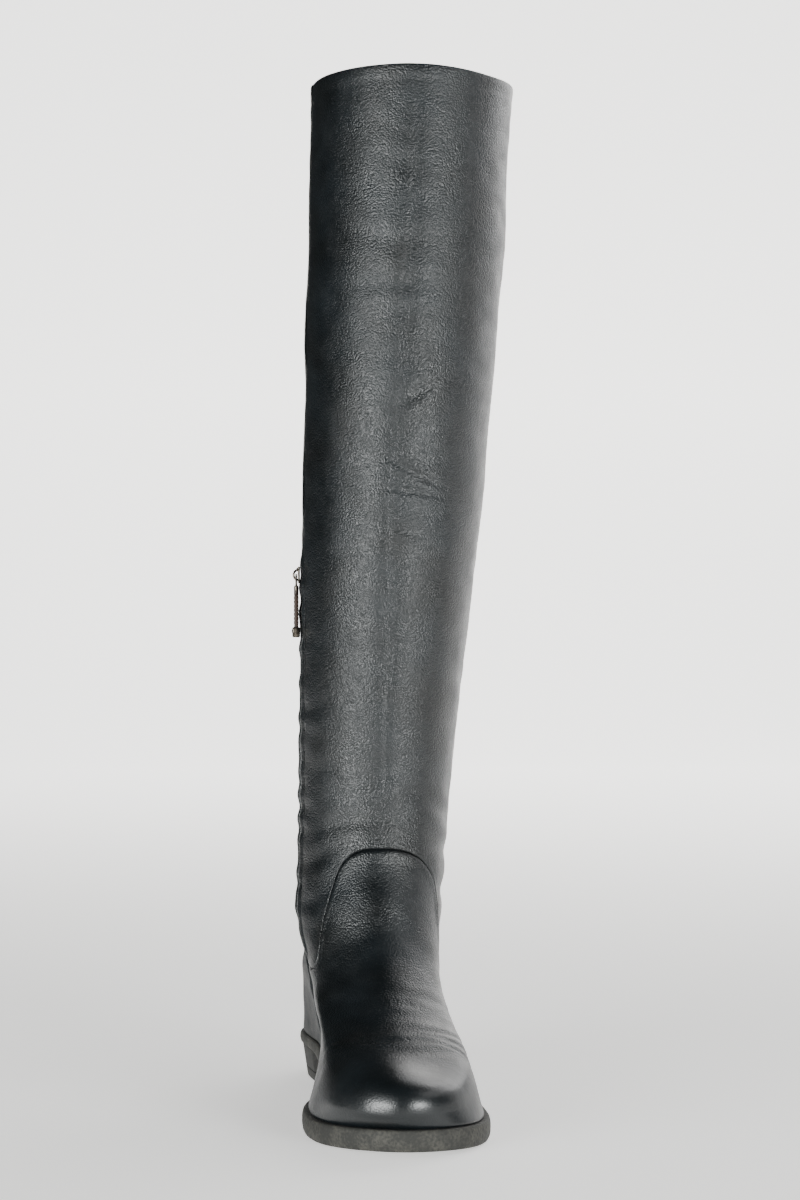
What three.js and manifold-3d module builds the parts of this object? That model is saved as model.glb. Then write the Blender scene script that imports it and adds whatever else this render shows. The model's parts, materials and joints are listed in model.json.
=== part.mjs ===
// Tall black leather boot for the left foot, standing empty on its sole.
//
// Millimetres, +Z up. The toe points along -Y and the outer side of the leg is +X.
// The origin is the middle of the heel's resting face, so the floor is z = 0.
//
// The upper is one function, shellPoint(turn, level). "level" climbs from the feather line
// (where the upper meets the sole) to the collar, a whole number at each row of SHELL_ROWS.
// "turn" goes round the boot: 0 at the toe or shin, a quarter turn at the outer side,
// half a turn at the heel or calf, three quarters at the inner side.
// The upper, insole, sole edge, heel counter and zip are all cut from that one function.

import * as THREE from 'three';
import { mergeVertices } from 'three/addons/utils/BufferGeometryUtils.js';
import Module from 'manifold-3d';

const wasm = await Module();
wasm.setup();

// ---------------------------------------------------------------- driving dimensions

const SOLE_LENGTH = 269;        // toe edge to heel edge of the outsole
const BALL_WIDTH = 101;         // outsole across the ball of the foot
const INSTEP_HEIGHT = 147;      // floor to the top of the vamp, at the bend of the ankle
const BOOT_HEIGHT = 597;        // floor to the collar
const HEEL_HEIGHT = 20;         // floor to the underside of the outsole at the heel
const FOREFOOT_HEIGHT = 11.5;   // floor to the feather line under the ball
const SEAT_HEIGHT = 27;         // floor to the feather line at the heel
const TOE_SPRING = 3;           // lift of the sole under the toe tip

const WALL = 2.0;               // leather and lining of the upper
const GAP = 0.3;                // air between pieces that touch
const SOLE_EDGE = 3.2;          // how far the rubber edge stands out past the feather line

const COLUMNS = 48;             // facets round the upper
const FOOT_LEVELS = 10;         // rows of the table that belong to the foot

// ---------------------------------------------------------------- tables

// The tables are drawn for a sole 269 long and 101 wide, an instep of 147 and a collar of 597.
const LENGTHWISE = SOLE_LENGTH / 269;
const WIDTHWISE = BALL_WIDTH / 101;
const FOOT_RISE = INSTEP_HEIGHT / 147;
const SHAFT_RISE = (BOOT_HEIGHT - INSTEP_HEIGHT) / (597 - 147);

// One row for each section of the upper, from the feather line to the collar.
// front_y, front_z: the point on the toe, vamp, instep or shin.
// back_y, back_z: the point on the heel or calf.
// front_x, back_x: the middle line's sideways place at those two points.
// half: half the width. toe_cap, heel_cap: share of the length that rounds off each end.
// foot: how far the section follows the outline of the foot, from 1 at the sole to 0.
const SHELL_ROWS = [
  { front_y: -226, front_z: 15, back_y: 35.5, back_z: 27, front_x: 20.5, back_x: -0.5, half: 47.6, toe_cap: 0.22, heel_cap: 0.14, foot: 1 },
  { front_y: -229.5, front_z: 23, back_y: 38, back_z: 41, front_x: 20.5, back_x: -1, half: 44, toe_cap: 0.225, heel_cap: 0.15, foot: 0.85 },
  { front_y: -225, front_z: 33, back_y: 39.5, back_z: 54, front_x: 21, back_x: -1, half: 40, toe_cap: 0.25, heel_cap: 0.165, foot: 0.5 },
  { front_y: -212, front_z: 40, back_y: 38.5, back_z: 65, front_x: 20, back_x: -1, half: 38.2, toe_cap: 0.3, heel_cap: 0.185, foot: 0.3 },
  { front_y: -190, front_z: 45.5, back_y: 36.5, back_z: 76, front_x: 17, back_x: -1, half: 37.8, toe_cap: 0.38, heel_cap: 0.23, foot: 0.2 },
  { front_y: -165, front_z: 51.5, back_y: 34, back_z: 87, front_x: 13.5, back_x: 0, half: 38, toe_cap: 0.44, heel_cap: 0.3, foot: 0.18 },
  { front_y: -141, front_z: 61, back_y: 32, back_z: 98, front_x: 11, back_x: 1, half: 38.6, toe_cap: 0.48, heel_cap: 0.38, foot: 0.1 },
  { front_y: -119, front_z: 76, back_y: 31, back_z: 109, front_x: 9.3, back_x: 1.8, half: 40, toe_cap: 0.5, heel_cap: 0.45, foot: 0.04 },
  { front_y: -101, front_z: 96, back_y: 30.5, back_z: 121, front_x: 8.5, back_x: 2.8, half: 41.8, toe_cap: 0.5, heel_cap: 0.5, foot: 0 },
  { front_y: -88, front_z: 120, back_y: 30.5, back_z: 136, front_x: 8.5, back_x: 4, half: 43, toe_cap: 0.5, heel_cap: 0.5, foot: 0 },
  { front_y: -80, front_z: 147, back_y: 31, back_z: 155, front_x: 9, back_x: 6, half: 43.9, toe_cap: 0.5, heel_cap: 0.5, foot: 0 },
  { front_y: -77, front_z: 180, back_y: 32.5, back_z: 184, front_x: 10, back_x: 9, half: 45.4, toe_cap: 0.5, heel_cap: 0.5, foot: 0 },
  { front_y: -80, front_z: 230, back_y: 36, back_z: 232, front_x: 12.2, back_x: 12.2, half: 47.7, toe_cap: 0.5, heel_cap: 0.5, foot: 0 },
  { front_y: -85, front_z: 290, back_y: 41, back_z: 291, front_x: 16, back_x: 16, half: 51, toe_cap: 0.5, heel_cap: 0.5, foot: 0 },
  { front_y: -89, front_z: 350, back_y: 44.5, back_z: 350, front_x: 19.8, back_x: 19.8, half: 54, toe_cap: 0.5, heel_cap: 0.5, foot: 0 },
  { front_y: -93, front_z: 410, back_y: 45.5, back_z: 410, front_x: 23, back_x: 23, half: 56, toe_cap: 0.5, heel_cap: 0.5, foot: 0 },
  { front_y: -96, front_z: 470, back_y: 45.5, back_z: 470, front_x: 26.2, back_x: 26.2, half: 58.1, toe_cap: 0.5, heel_cap: 0.5, foot: 0 },
  { front_y: -98.5, front_z: 530, back_y: 44.5, back_z: 530, front_x: 28.6, back_x: 28.6, half: 59, toe_cap: 0.5, heel_cap: 0.5, foot: 0 },
  { front_y: -100, front_z: 597, back_y: 43, back_z: 597, front_x: 31.2, back_x: 31.2, half: 60, toe_cap: 0.5, heel_cap: 0.5, foot: 0 },
];
const COLLAR_LEVEL = SHELL_ROWS.length - 1;

// The foot's outline: width of each side as a share of half the ball width,
// along the foot from 0 at the heel to 1 at the toe.
const FOOT_OUTLINE = [
  { along: 0.0, inner: 0.72, outer: 0.72 },
  { along: 0.16, inner: 0.72, outer: 0.71 },
  { along: 0.34, inner: 0.6, outer: 0.68 },
  { along: 0.5, inner: 0.68, outer: 0.8 },
  { along: 0.62, inner: 0.86, outer: 0.94 },
  { along: 0.72, inner: 0.99, outer: 0.99 },
  { along: 0.86, inner: 0.97, outer: 0.98 },
  { along: 1.0, inner: 0.84, outer: 0.98 },
];

// The heel counter's upper edge seen from the side, from its front corner to the back.
const COUNTER_EDGE = [
  { y: -76, z: 0 },
  { y: -70, z: 40 },
  { y: -62, z: 72 },
  { y: -52, z: 79 },
  { y: -20, z: 80 },
  { y: 15, z: 86 },
  { y: 60, z: 96 },
];

// ---------------------------------------------------------------- the shell function

const lerp = (a, b, share) => a + (b - a) * share;

/** Smooth step from 0 at `from` to 1 at `to`. */
function ease(from, to, value) {
  const share = Math.min(1, Math.max(0, (value - from) / (to - from)));
  return share * share * (3 - 2 * share);
}

/** Smooth curve through four values in a row, between the second and the third. */
function curveThrough(a, b, c, d, share) {
  const square = share * share;
  const cube = square * share;
  return 0.5 * (2 * b + (c - a) * share + (2 * a - 5 * b + 4 * c - d) * square + (3 * b - a - 3 * c + d) * cube);
}

/** The table's row at a level that may lie between two rows. */
function rowAt(level) {
  const below = Math.min(Math.floor(level), COLLAR_LEVEL - 1);
  const pick = (step) => SHELL_ROWS[Math.min(COLLAR_LEVEL, Math.max(0, below + step))];
  const row = {};
  for (const column of Object.keys(SHELL_ROWS[0])) {
    const values = [-1, 0, 1, 2].map((step) => pick(step)[column]);
    row[column] = curveThrough(...values, level - below);
  }
  return row;
}

/** Width of one side of the foot's outline at a place along it, on a smooth curve. */
function footWidth(side, along) {
  const column = side < 0 ? 'inner' : 'outer';
  const last = FOOT_OUTLINE.length - 1;
  const slopeAt = (i) => {
    const [before, after] = [FOOT_OUTLINE[Math.max(0, i - 1)], FOOT_OUTLINE[Math.min(last, i + 1)]];
    return (after[column] - before[column]) / (after.along - before.along);
  };
  const index = Math.max(1, FOOT_OUTLINE.findIndex((row) => row.along >= along));
  const [before, after] = [FOOT_OUTLINE[index - 1], FOOT_OUTLINE[index]];
  const span = after.along - before.along;
  const share = (along - before.along) / span;
  const bend = share * (1 - share) * span;
  return lerp(before[column], after[column], share * share * (3 - 2 * share))
    + bend * (slopeAt(index - 1) * (1 - share) - slopeAt(index) * share);
}

/** Rounds off the two ends of a section: 0 at each end, 1 in between. */
function endRounding(along, toeCap, heelCap) {
  const intoToe = Math.max(0, (toeCap - (1 - along)) / toeCap);
  const intoHeel = Math.max(0, (heelCap - along) / heelCap);
  const into = Math.min(1, Math.max(intoToe, intoHeel));
  return Math.sqrt(1 - into * into);
}

const stretchHeight = (z) => (z <= 147 ? z * FOOT_RISE : INSTEP_HEIGHT + (z - 147) * SHAFT_RISE);

/** Height of the sole's top, on which the upper stands. */
function soleTop(y) {
  const climb = ease(-118, -34, y / LENGTHWISE);
  const spring = TOE_SPRING * ease(-185, -250, y / LENGTHWISE) / ease(-185, -250, -228);
  return lerp(FOREFOOT_HEIGHT, SEAT_HEIGHT, climb) + spring;
}

/** Height of the sole's underside. */
function soleUnderside(y) {
  const climb = ease(-106, -26, y / LENGTHWISE);
  const spring = TOE_SPRING * ease(-185, -250, y / LENGTHWISE) / ease(-185, -250, -228);
  return lerp(0, HEEL_HEIGHT, climb) + spring;
}

/** A point of the upper's outer face. */
function shellPoint(turn, level) {
  const row = rowAt(level);
  const along = (1 + Math.cos(turn)) / 2;
  const side = Math.sin(turn) < 0 ? -1 : 1;
  const width = row.half * lerp(1, footWidth(side, along), Math.max(0, row.foot));
  const y = lerp(row.back_y, row.front_y, along) * LENGTHWISE;
  const x = lerp(row.back_x, row.front_x, along) + side * width * endRounding(along, row.toe_cap, row.heel_cap);
  const flatRing = stretchHeight(lerp(row.back_z, row.front_z, along));
  const flatFeather = stretchHeight(lerp(SHELL_ROWS[0].back_z, SHELL_ROWS[0].front_z, along));
  const followSole = (soleTop(y) + GAP - flatFeather) * (1 - ease(0, 2, level));
  return new THREE.Vector3(x * WIDTHWISE, y, flatRing + followSole);
}

/** The outward direction at a point of the upper, level along the feather line. */
function shellNormal(turn, level) {
  const step = 0.02;
  const lower = Math.max(0, level - step);
  const upper = Math.min(COLLAR_LEVEL, level + step);
  const around = shellPoint(turn + step, level).sub(shellPoint(turn - step, level));
  const upwards = shellPoint(turn, upper).sub(shellPoint(turn, lower));
  const normal = around.cross(upwards).negate().normalize();
  normal.z *= ease(0, 1, level);
  const outwards = shellPoint(turn, level).sub(shellPoint(turn + Math.PI, level));
  if (normal.dot(outwards) < 0) {
    normal.negate();
  }
  return normal.normalize();
}

/** A point at a distance outside the upper's outer face (negative is inside). */
function offsetPoint(turn, level, distance) {
  return shellPoint(turn, level).addScaledVector(shellNormal(turn, level), distance);
}

/** The level at which the shell passes a height, at one turn. */
function levelAtHeight(turn, height) {
  let low = 0;
  let high = COLLAR_LEVEL;
  for (let step = 0; step < 40; step += 1) {
    const middle = (low + high) / 2;
    if (shellPoint(turn, middle).z < height) {
      low = middle;
    } else {
      high = middle;
    }
  }
  return low;
}

// ---------------------------------------------------------------- solids

/** A geometry from points and triangles, turned so that its faces point out. */
function closedGeometry(points, triangles) {
  let volume = 0;
  for (const [a, b, c] of triangles) {
    volume += points[a].dot(new THREE.Vector3().crossVectors(points[b], points[c]));
  }
  const index = triangles.flatMap(([a, b, c]) => (volume < 0 ? [a, c, b] : [a, b, c]));
  const geometry = new THREE.BufferGeometry();
  geometry.setAttribute('position', new THREE.Float32BufferAttribute(points.flatMap((p) => p.toArray()), 3));
  geometry.setIndex(index);
  return geometry;
}

/** A wall between an outer and an inner grid of points; `wraps` closes it round. */
function wallGeometry(outer, inner, wraps) {
  const rows = outer.length;
  const columns = outer[0].length;
  const points = [...outer.flat(), ...inner.flat()];
  const at = (face, row, column) => face * rows * columns + row * columns + (column % columns);
  const triangles = [];
  const quad = (a, b, c, d) => triangles.push([a, b, c], [a, c, d]);
  const spans = wraps ? columns : columns - 1;
  for (let column = 0; column < spans; column += 1) {
    for (let row = 0; row < rows - 1; row += 1) {
      quad(at(0, row, column), at(0, row, column + 1), at(0, row + 1, column + 1), at(0, row + 1, column));
      quad(at(1, row, column), at(1, row + 1, column), at(1, row + 1, column + 1), at(1, row, column + 1));
    }
    quad(at(0, 0, column), at(1, 0, column), at(1, 0, column + 1), at(0, 0, column + 1));
    quad(at(0, rows - 1, column), at(0, rows - 1, column + 1), at(1, rows - 1, column + 1), at(1, rows - 1, column));
  }
  for (let row = 0; row < rows - 1 && !wraps; row += 1) {
    const last = columns - 1;
    quad(at(0, row, 0), at(0, row + 1, 0), at(1, row + 1, 0), at(1, row, 0));
    quad(at(0, row, last), at(1, row, last), at(1, row + 1, last), at(0, row + 1, last));
  }
  return closedGeometry(points, triangles);
}

/** A solid from outlines stacked upwards. Each outline is symmetric in its numbering:
 *  its first point faces its last one, so the two ends are closed by strips across. */
function stackedGeometry(outlines) {
  const count = outlines[0].length;
  const points = outlines.flat();
  const triangles = [];
  for (let ring = 0; ring < outlines.length - 1; ring += 1) {
    for (let i = 0; i < count; i += 1) {
      const next = (i + 1) % count;
      const [a, b] = [ring * count + i, ring * count + next];
      triangles.push([a, b, b + count], [a, b + count, a + count]);
    }
  }
  const top = (outlines.length - 1) * count;
  for (let i = 0; i < count / 2 - 1; i += 1) {
    const [a, b, c, d] = [i, i + 1, count - 2 - i, count - 1 - i];
    triangles.push([a, c, b], [a, d, c]);
    triangles.push([top + a, top + b, top + c], [top + a, top + c, top + d]);
  }
  return closedGeometry(points, triangles);
}

/** A closed geometry as a solid that can be joined and cut. */
function toSolid(geometry) {
  const bare = geometry.clone();
  bare.deleteAttribute('normal');
  bare.deleteAttribute('uv');
  const merged = mergeVertices(bare, 1e-4);
  const vertProperties = new Float32Array(merged.attributes.position.array);
  const triVerts = new Uint32Array(merged.index.array);
  return new wasm.Manifold(new wasm.Mesh({ numProp: 3, vertProperties, triVerts }));
}

/** A cut or joined solid as a geometry again. */
function toGeometry(solid) {
  const mesh = solid.getMesh();
  const geometry = new THREE.BufferGeometry();
  geometry.setAttribute('position', new THREE.BufferAttribute(new Float32Array(mesh.vertProperties), 3));
  geometry.setIndex(new THREE.BufferAttribute(new Uint32Array(mesh.triVerts), 1));
  return geometry;
}

/** A box given by its middle and its size. */
function boxGeometry(middle, size) {
  return new THREE.BoxGeometry(...size).translate(...middle);
}

// ---------------------------------------------------------------- upper

/** Evenly spaced turns, half a step off the toe and the heel so that the sides pair up. */
function turnsAround(count) {
  return Array.from({ length: count }, (_, i) => ((i + 0.5) / count) * 2 * Math.PI);
}

const TURNS = turnsAround(COLUMNS);

/** Levels of the facets: half rows along the foot, whole rows along the shaft. */
const LEVELS = [
  ...Array.from({ length: 2 * FOOT_LEVELS }, (_, i) => i / 2),
  ...Array.from({ length: COLLAR_LEVEL - FOOT_LEVELS + 1 }, (_, i) => FOOT_LEVELS + i),
];

/** Grid of points at one distance from the shell. */
function shellGrid(turns, levels, distance) {
  return levels.map((level) => turns.map((turn) => offsetPoint(turn, level, distance)));
}

const ZIP_TURN = -1.45;
const ZIP_LOW = levelAtHeight(ZIP_TURN, 80);
const ZIP_HIGH = levelAtHeight(ZIP_TURN, 314);
const ZIP_SLOT_WIDTH = 7;
const ZIP_STEPS = 16;

/** A strip along the zip's line, a width across and between two distances from the shell. */
function zipBand(width, low, high, outside, inside) {
  const face = (distance) => Array.from({ length: ZIP_STEPS + 1 }, (_, i) => {
    const level = lerp(low, high, i / ZIP_STEPS);
    const reach = shellPoint(ZIP_TURN + 0.01, level).distanceTo(shellPoint(ZIP_TURN - 0.01, level)) / 0.02;
    return [-1, 1].map((side) => offsetPoint(ZIP_TURN + (side * width) / 2 / reach, level, distance));
  });
  return wallGeometry(face(outside), face(inside), false);
}

function upperGeometry() {
  const wall = wallGeometry(shellGrid(TURNS, LEVELS, 0), shellGrid(TURNS, LEVELS, -WALL), true);
  const slot = zipBand(ZIP_SLOT_WIDTH, ZIP_LOW, ZIP_HIGH, 3, -WALL - 3);
  return toGeometry(toSolid(wall).subtract(toSolid(slot)));
}

// ---------------------------------------------------------------- heel counter

const COUNTER_STANDOFF = 0.45;  // clears the facets of the upper beneath it
const COUNTER_THICKNESS = 1.2;

/** The counter is the part of a larger shell that lies below its edge line. */
function heelCounterGeometry() {
  const turns = TURNS.filter((turn) => turn > 0.36 * Math.PI && turn < 1.64 * Math.PI);
  const levels = LEVELS.filter((level) => level <= FOOT_LEVELS);
  const outer = shellGrid(turns, levels, COUNTER_STANDOFF + COUNTER_THICKNESS);
  const inner = shellGrid(turns, levels, COUNTER_STANDOFF);
  const edge = new THREE.SplineCurve(COUNTER_EDGE.map((row) => new THREE.Vector2(row.y, row.z)));
  const outline = new THREE.Shape([...edge.getPoints(24), new THREE.Vector2(COUNTER_EDGE.at(-1).y, 0)]);
  const reach = 80;
  const side = new THREE.ExtrudeGeometry(outline, { depth: 2 * reach, bevelEnabled: false });
  side.translate(0, 0, -reach);
  side.applyMatrix4(new THREE.Matrix4().makeBasis(
    new THREE.Vector3(0, 1, 0), new THREE.Vector3(0, 0, 1), new THREE.Vector3(1, 0, 0),
  ));
  return toGeometry(toSolid(wallGeometry(outer, inner, false)).intersect(toSolid(side)));
}

// ---------------------------------------------------------------- sole

/** The feather line moved outwards by a distance, at heights that a function gives. */
function soleOutline(turns, distance, heightAt) {
  return turns.map((turn) => {
    const point = offsetPoint(turn, 0, distance);
    return new THREE.Vector3(point.x, point.y, heightAt(point.y));
  });
}

function outsoleGeometry() {
  const share = (part) => (y) => lerp(soleUnderside(y), soleTop(y), part);
  return stackedGeometry([
    soleOutline(TURNS, 0.6, soleUnderside),
    soleOutline(TURNS, SOLE_EDGE - 0.7, share(0.2)),
    soleOutline(TURNS, SOLE_EDGE, share(0.5)),
    soleOutline(TURNS, SOLE_EDGE - 0.7, share(0.82)),
    soleOutline(TURNS, 1.2, soleTop),
  ]);
}

const HEEL_BREAST = 0.68 * Math.PI;   // turn at which the heel's front face cuts the outline
const HEEL_POINTS = 24;
const LIFT_HEIGHT = 6;
const HEEL_TURNS = Array.from({ length: HEEL_POINTS }, (_, i) => (
  lerp(HEEL_BREAST, 2 * Math.PI - HEEL_BREAST, i / (HEEL_POINTS - 1))
));

/** A slice of the heel between two heights, tapering downwards. */
function heelSlice(low, high) {
  const spread = (z) => lerp(-1.4, 1.6, z / HEEL_HEIGHT);
  return stackedGeometry([low, high].map((z) => soleOutline(HEEL_TURNS, spread(z), () => z)));
}

function insoleGeometry() {
  const inset = -(WALL + GAP + 1.2);
  return stackedGeometry([
    soleOutline(TURNS, inset, (y) => soleTop(y) + GAP),
    soleOutline(TURNS, inset, (y) => soleTop(y) + GAP + 2.5),
  ]);
}

// ---------------------------------------------------------------- zip

const ZIP_STRIP_SINK = 0.5;
const ZIP_STRIP_THICKNESS = 1.2;

function zipChainGeometry() {
  const inset = 0.06;
  return zipBand(
    ZIP_SLOT_WIDTH - 2 * GAP, ZIP_LOW + inset, ZIP_HIGH - inset,
    -ZIP_STRIP_SINK, -ZIP_STRIP_SINK - ZIP_STRIP_THICKNESS,
  );
}

// The slider and its pull are drawn flat: x across the zip, y up along it, z out of the leg.
const SLIDER = { width: 6.2, height: 10, low: 0.6, high: 2.0 };
const BRIDGE = { width: 1.8, foot: 3.2, outer: 4.9, inner: 3.95 };
const PIVOT_OUT = 2.95;
const WIRE = 1.3;
const LINK = { width: 6.8, length: 9 };
const TAB = { top: -6.6, bottom: -34, width: 6, neck: 3.4, neckEnd: -11.2, thickness: 3.1 };
const END_CAP = { top: -31, bottom: -37.5, wall: 0.7 };

function sliderGeometry() {
  const { width, height, low, high } = SLIDER;
  const outline = new THREE.Shape();
  outline.moveTo(-width / 2, height / 2 - 1.5);
  outline.quadraticCurveTo(-width / 2, height / 2, -width / 2 + 1.5, height / 2);
  outline.lineTo(width / 2 - 1.5, height / 2);
  outline.quadraticCurveTo(width / 2, height / 2, width / 2, height / 2 - 1.5);
  outline.lineTo(width / 2 - 1.1, -height / 2);
  outline.lineTo(-width / 2 + 1.1, -height / 2);
  outline.closePath();
  const plate = new THREE.ExtrudeGeometry(outline, { depth: high - low, bevelEnabled: false, curveSegments: 4 });
  plate.translate(0, 0, low);
  const block = boxGeometry([0, 0, (high + BRIDGE.outer) / 2 - 0.1], [BRIDGE.width, 2 * BRIDGE.foot, BRIDGE.outer - high + 0.2]);
  const window = boxGeometry([0, 0, (high + BRIDGE.inner) / 2], [BRIDGE.width + 2, 2 * BRIDGE.foot - 2.2, BRIDGE.inner - high]);
  return toGeometry(toSolid(plate).add(toSolid(block)).subtract(toSolid(window)));
}

function pullLinkGeometry() {
  const middle = -LINK.length / 2;
  const plate = boxGeometry([0, middle, PIVOT_OUT], [LINK.width, LINK.length + WIRE, WIRE]);
  const window = boxGeometry([0, middle, PIVOT_OUT], [LINK.width - 2 * WIRE, LINK.length - WIRE, WIRE + 2]);
  return toGeometry(toSolid(plate).subtract(toSolid(window)));
}

function pullTabGeometry() {
  const body = boxGeometry(
    [0, (TAB.neckEnd + TAB.bottom) / 2, PIVOT_OUT], [TAB.width, TAB.neckEnd - TAB.bottom, TAB.thickness],
  );
  const neck = boxGeometry(
    [0, (TAB.top + TAB.neckEnd) / 2 - 0.5, PIVOT_OUT], [TAB.neck, TAB.top - TAB.neckEnd + 1, TAB.thickness],
  );
  const wireHole = boxGeometry([0, -LINK.length, PIVOT_OUT], [TAB.width, WIRE + 2 * GAP, WIRE + 2 * GAP]);
  return toGeometry(toSolid(body).add(toSolid(neck)).subtract(toSolid(wireHole)));
}

function pullEndGeometry() {
  const { top, bottom, wall } = END_CAP;
  const outerSize = [TAB.width + 2 * (GAP + wall), top - bottom, TAB.thickness + 2 * (GAP + wall)];
  const pocketSize = [TAB.width + 2 * GAP, top - TAB.bottom + 2, TAB.thickness + 2 * GAP];
  const cap = boxGeometry([0, (top + bottom) / 2, PIVOT_OUT], outerSize);
  const pocket = boxGeometry([0, TAB.bottom - GAP + pocketSize[1] / 2, PIVOT_OUT], pocketSize);
  return toGeometry(toSolid(cap).subtract(toSolid(pocket)));
}

// ---------------------------------------------------------------- assembly

const black_leather = { color: 0x15191a, roughness: 0.45, metalness: 0 };
const dark_rubber = { color: 0x33322e, roughness: 0.85, metalness: 0 };
const tan_board = { color: 0x8a6f52, roughness: 0.8, metalness: 0 };
const brown_leather = { color: 0x4a3223, roughness: 0.6, metalness: 0 };
const black_zip = { color: 0x101112, roughness: 0.6, metalness: 0 };
const pale_metal = { color: 0xb8b4a8, roughness: 0.3, metalness: 1 };

/** One named piece with its own material. */
function piece(name, geometry, look) {
  const mesh = new THREE.Mesh(geometry, new THREE.MeshStandardMaterial(look));
  mesh.name = name;
  return mesh;
}

const boot = new THREE.Group();
boot.add(
  piece('upper', upperGeometry(), black_leather),
  piece('heel_counter', heelCounterGeometry(), black_leather),
  piece('insole', insoleGeometry(), tan_board),
  piece('outsole', outsoleGeometry(), dark_rubber),
  piece('heel_block', heelSlice(LIFT_HEIGHT + GAP, HEEL_HEIGHT - GAP), dark_rubber),
  piece('heel_lift', heelSlice(0, LIFT_HEIGHT), dark_rubber),
  piece('zip_chain', zipChainGeometry(), black_zip),
);

// The slider stops near the top of the zip. Its pull hangs from the bridge.
const SLIDER_HEIGHT = 305;
const SLIDER_STANDOFF = 0.8;
const slider = new THREE.Group();
slider.add(
  piece('zip_slider', sliderGeometry(), pale_metal),
  piece('zip_pull_link', pullLinkGeometry(), pale_metal),
  piece('zip_pull_tab', pullTabGeometry(), brown_leather),
  piece('zip_pull_end', pullEndGeometry(), pale_metal),
);
slider.position.copy(offsetPoint(ZIP_TURN, levelAtHeight(ZIP_TURN, SLIDER_HEIGHT), SLIDER_STANDOFF));
slider.setRotationFromMatrix(new THREE.Matrix4().makeBasis(
  new THREE.Vector3(0, -1, 0), new THREE.Vector3(0, 0, 1), new THREE.Vector3(-1, 0, 0),
));
boot.add(slider);

export default boot;
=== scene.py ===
"""A tall black leather boot for the left foot, standing empty on its sole.

The frame gives the solids, their bodies and the hinge of the zip's pull. This script gives
the boot its surface: two skins of creased leather that meet in a turned seam, a stitched
heel quarter, a rolled collar with its lining, a zip with coil teeth, and a rubber sole.

Every leather piece is laid over one shell function. "turn" goes round the boot, 0 at the toe
or shin and positive to the outer side. "level" climbs from the feather line, where the upper
meets the sole, to the collar. Sizes are in millimetres until a mesh is made in metres.
"""

import json
import logging
import math
from dataclasses import dataclass, field, fields
from enum import Enum
from itertools import product

import bmesh
import bpy
import numpy as np
from mathutils import Matrix, Vector


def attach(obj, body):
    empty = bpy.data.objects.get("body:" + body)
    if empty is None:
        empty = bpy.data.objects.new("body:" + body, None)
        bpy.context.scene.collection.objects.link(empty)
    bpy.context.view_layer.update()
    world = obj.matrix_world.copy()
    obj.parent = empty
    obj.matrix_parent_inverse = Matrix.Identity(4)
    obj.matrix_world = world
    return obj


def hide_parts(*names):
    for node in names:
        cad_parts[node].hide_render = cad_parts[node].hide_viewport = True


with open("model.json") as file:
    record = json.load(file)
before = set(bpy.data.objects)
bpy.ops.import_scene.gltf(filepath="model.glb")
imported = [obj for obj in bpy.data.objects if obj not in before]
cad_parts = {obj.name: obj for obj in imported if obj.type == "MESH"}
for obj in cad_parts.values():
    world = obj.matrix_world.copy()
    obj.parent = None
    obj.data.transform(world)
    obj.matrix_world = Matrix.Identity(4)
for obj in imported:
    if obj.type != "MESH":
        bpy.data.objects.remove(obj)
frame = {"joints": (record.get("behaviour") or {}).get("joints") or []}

log = logging.getLogger("boot")

MM = 0.001
FULL_TURN = 2 * math.pi
LEG_RADIUS = 50.0


# ------------------------------------------------------------------ the shell of the boot


@dataclass(frozen=True)
class Section:
    """One section of the upper, from its front point to its back point.

    half is half the width, the caps are the shares of the length that round off each end,
    and foot says how far the section follows the outline of the foot.
    """

    front_y: float
    front_z: float
    back_y: float
    back_z: float
    front_x: float
    back_x: float
    half: float
    toe_cap: float
    heel_cap: float
    foot: float


SECTIONS = (
    Section(-226, 15, 35.5, 27, 20.5, -0.5, 47.6, 0.22, 0.14, 1),
    Section(-229.5, 23, 38, 41, 20.5, -1, 44, 0.225, 0.15, 0.85),
    Section(-225, 33, 39.5, 54, 21, -1, 40, 0.25, 0.165, 0.5),
    Section(-212, 40, 38.5, 65, 20, -1, 38.2, 0.3, 0.185, 0.3),
    Section(-190, 45.5, 36.5, 76, 17, -1, 37.8, 0.38, 0.23, 0.2),
    Section(-165, 51.5, 34, 87, 13.5, 0, 38, 0.44, 0.3, 0.18),
    Section(-141, 61, 32, 98, 11, 1, 38.6, 0.48, 0.38, 0.1),
    Section(-119, 76, 31, 109, 9.3, 1.8, 40, 0.5, 0.45, 0.04),
    Section(-101, 96, 30.5, 121, 8.5, 2.8, 41.8, 0.5, 0.5, 0),
    Section(-88, 120, 30.5, 136, 8.5, 4, 43, 0.5, 0.5, 0),
    Section(-80, 147, 31, 155, 9, 6, 43.9, 0.5, 0.5, 0),
    Section(-77, 180, 32.5, 184, 10, 9, 45.4, 0.5, 0.5, 0),
    Section(-80, 230, 36, 232, 12.2, 12.2, 47.7, 0.5, 0.5, 0),
    Section(-85, 290, 41, 291, 16, 16, 51, 0.5, 0.5, 0),
    Section(-89, 350, 44.5, 350, 19.8, 19.8, 54, 0.5, 0.5, 0),
    Section(-93, 410, 45.5, 410, 23, 23, 56, 0.5, 0.5, 0),
    Section(-96, 470, 45.5, 470, 26.2, 26.2, 58.1, 0.5, 0.5, 0),
    Section(-98.5, 530, 44.5, 530, 28.6, 28.6, 59, 0.5, 0.5, 0),
    Section(-100, 597, 43, 597, 31.2, 31.2, 60, 0.5, 0.5, 0),
)


@dataclass(frozen=True)
class OutlinePoint:
    """Width of each side of the foot, as a share of half the ball, at a place along it."""

    along: float
    inner: float
    outer: float


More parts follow.
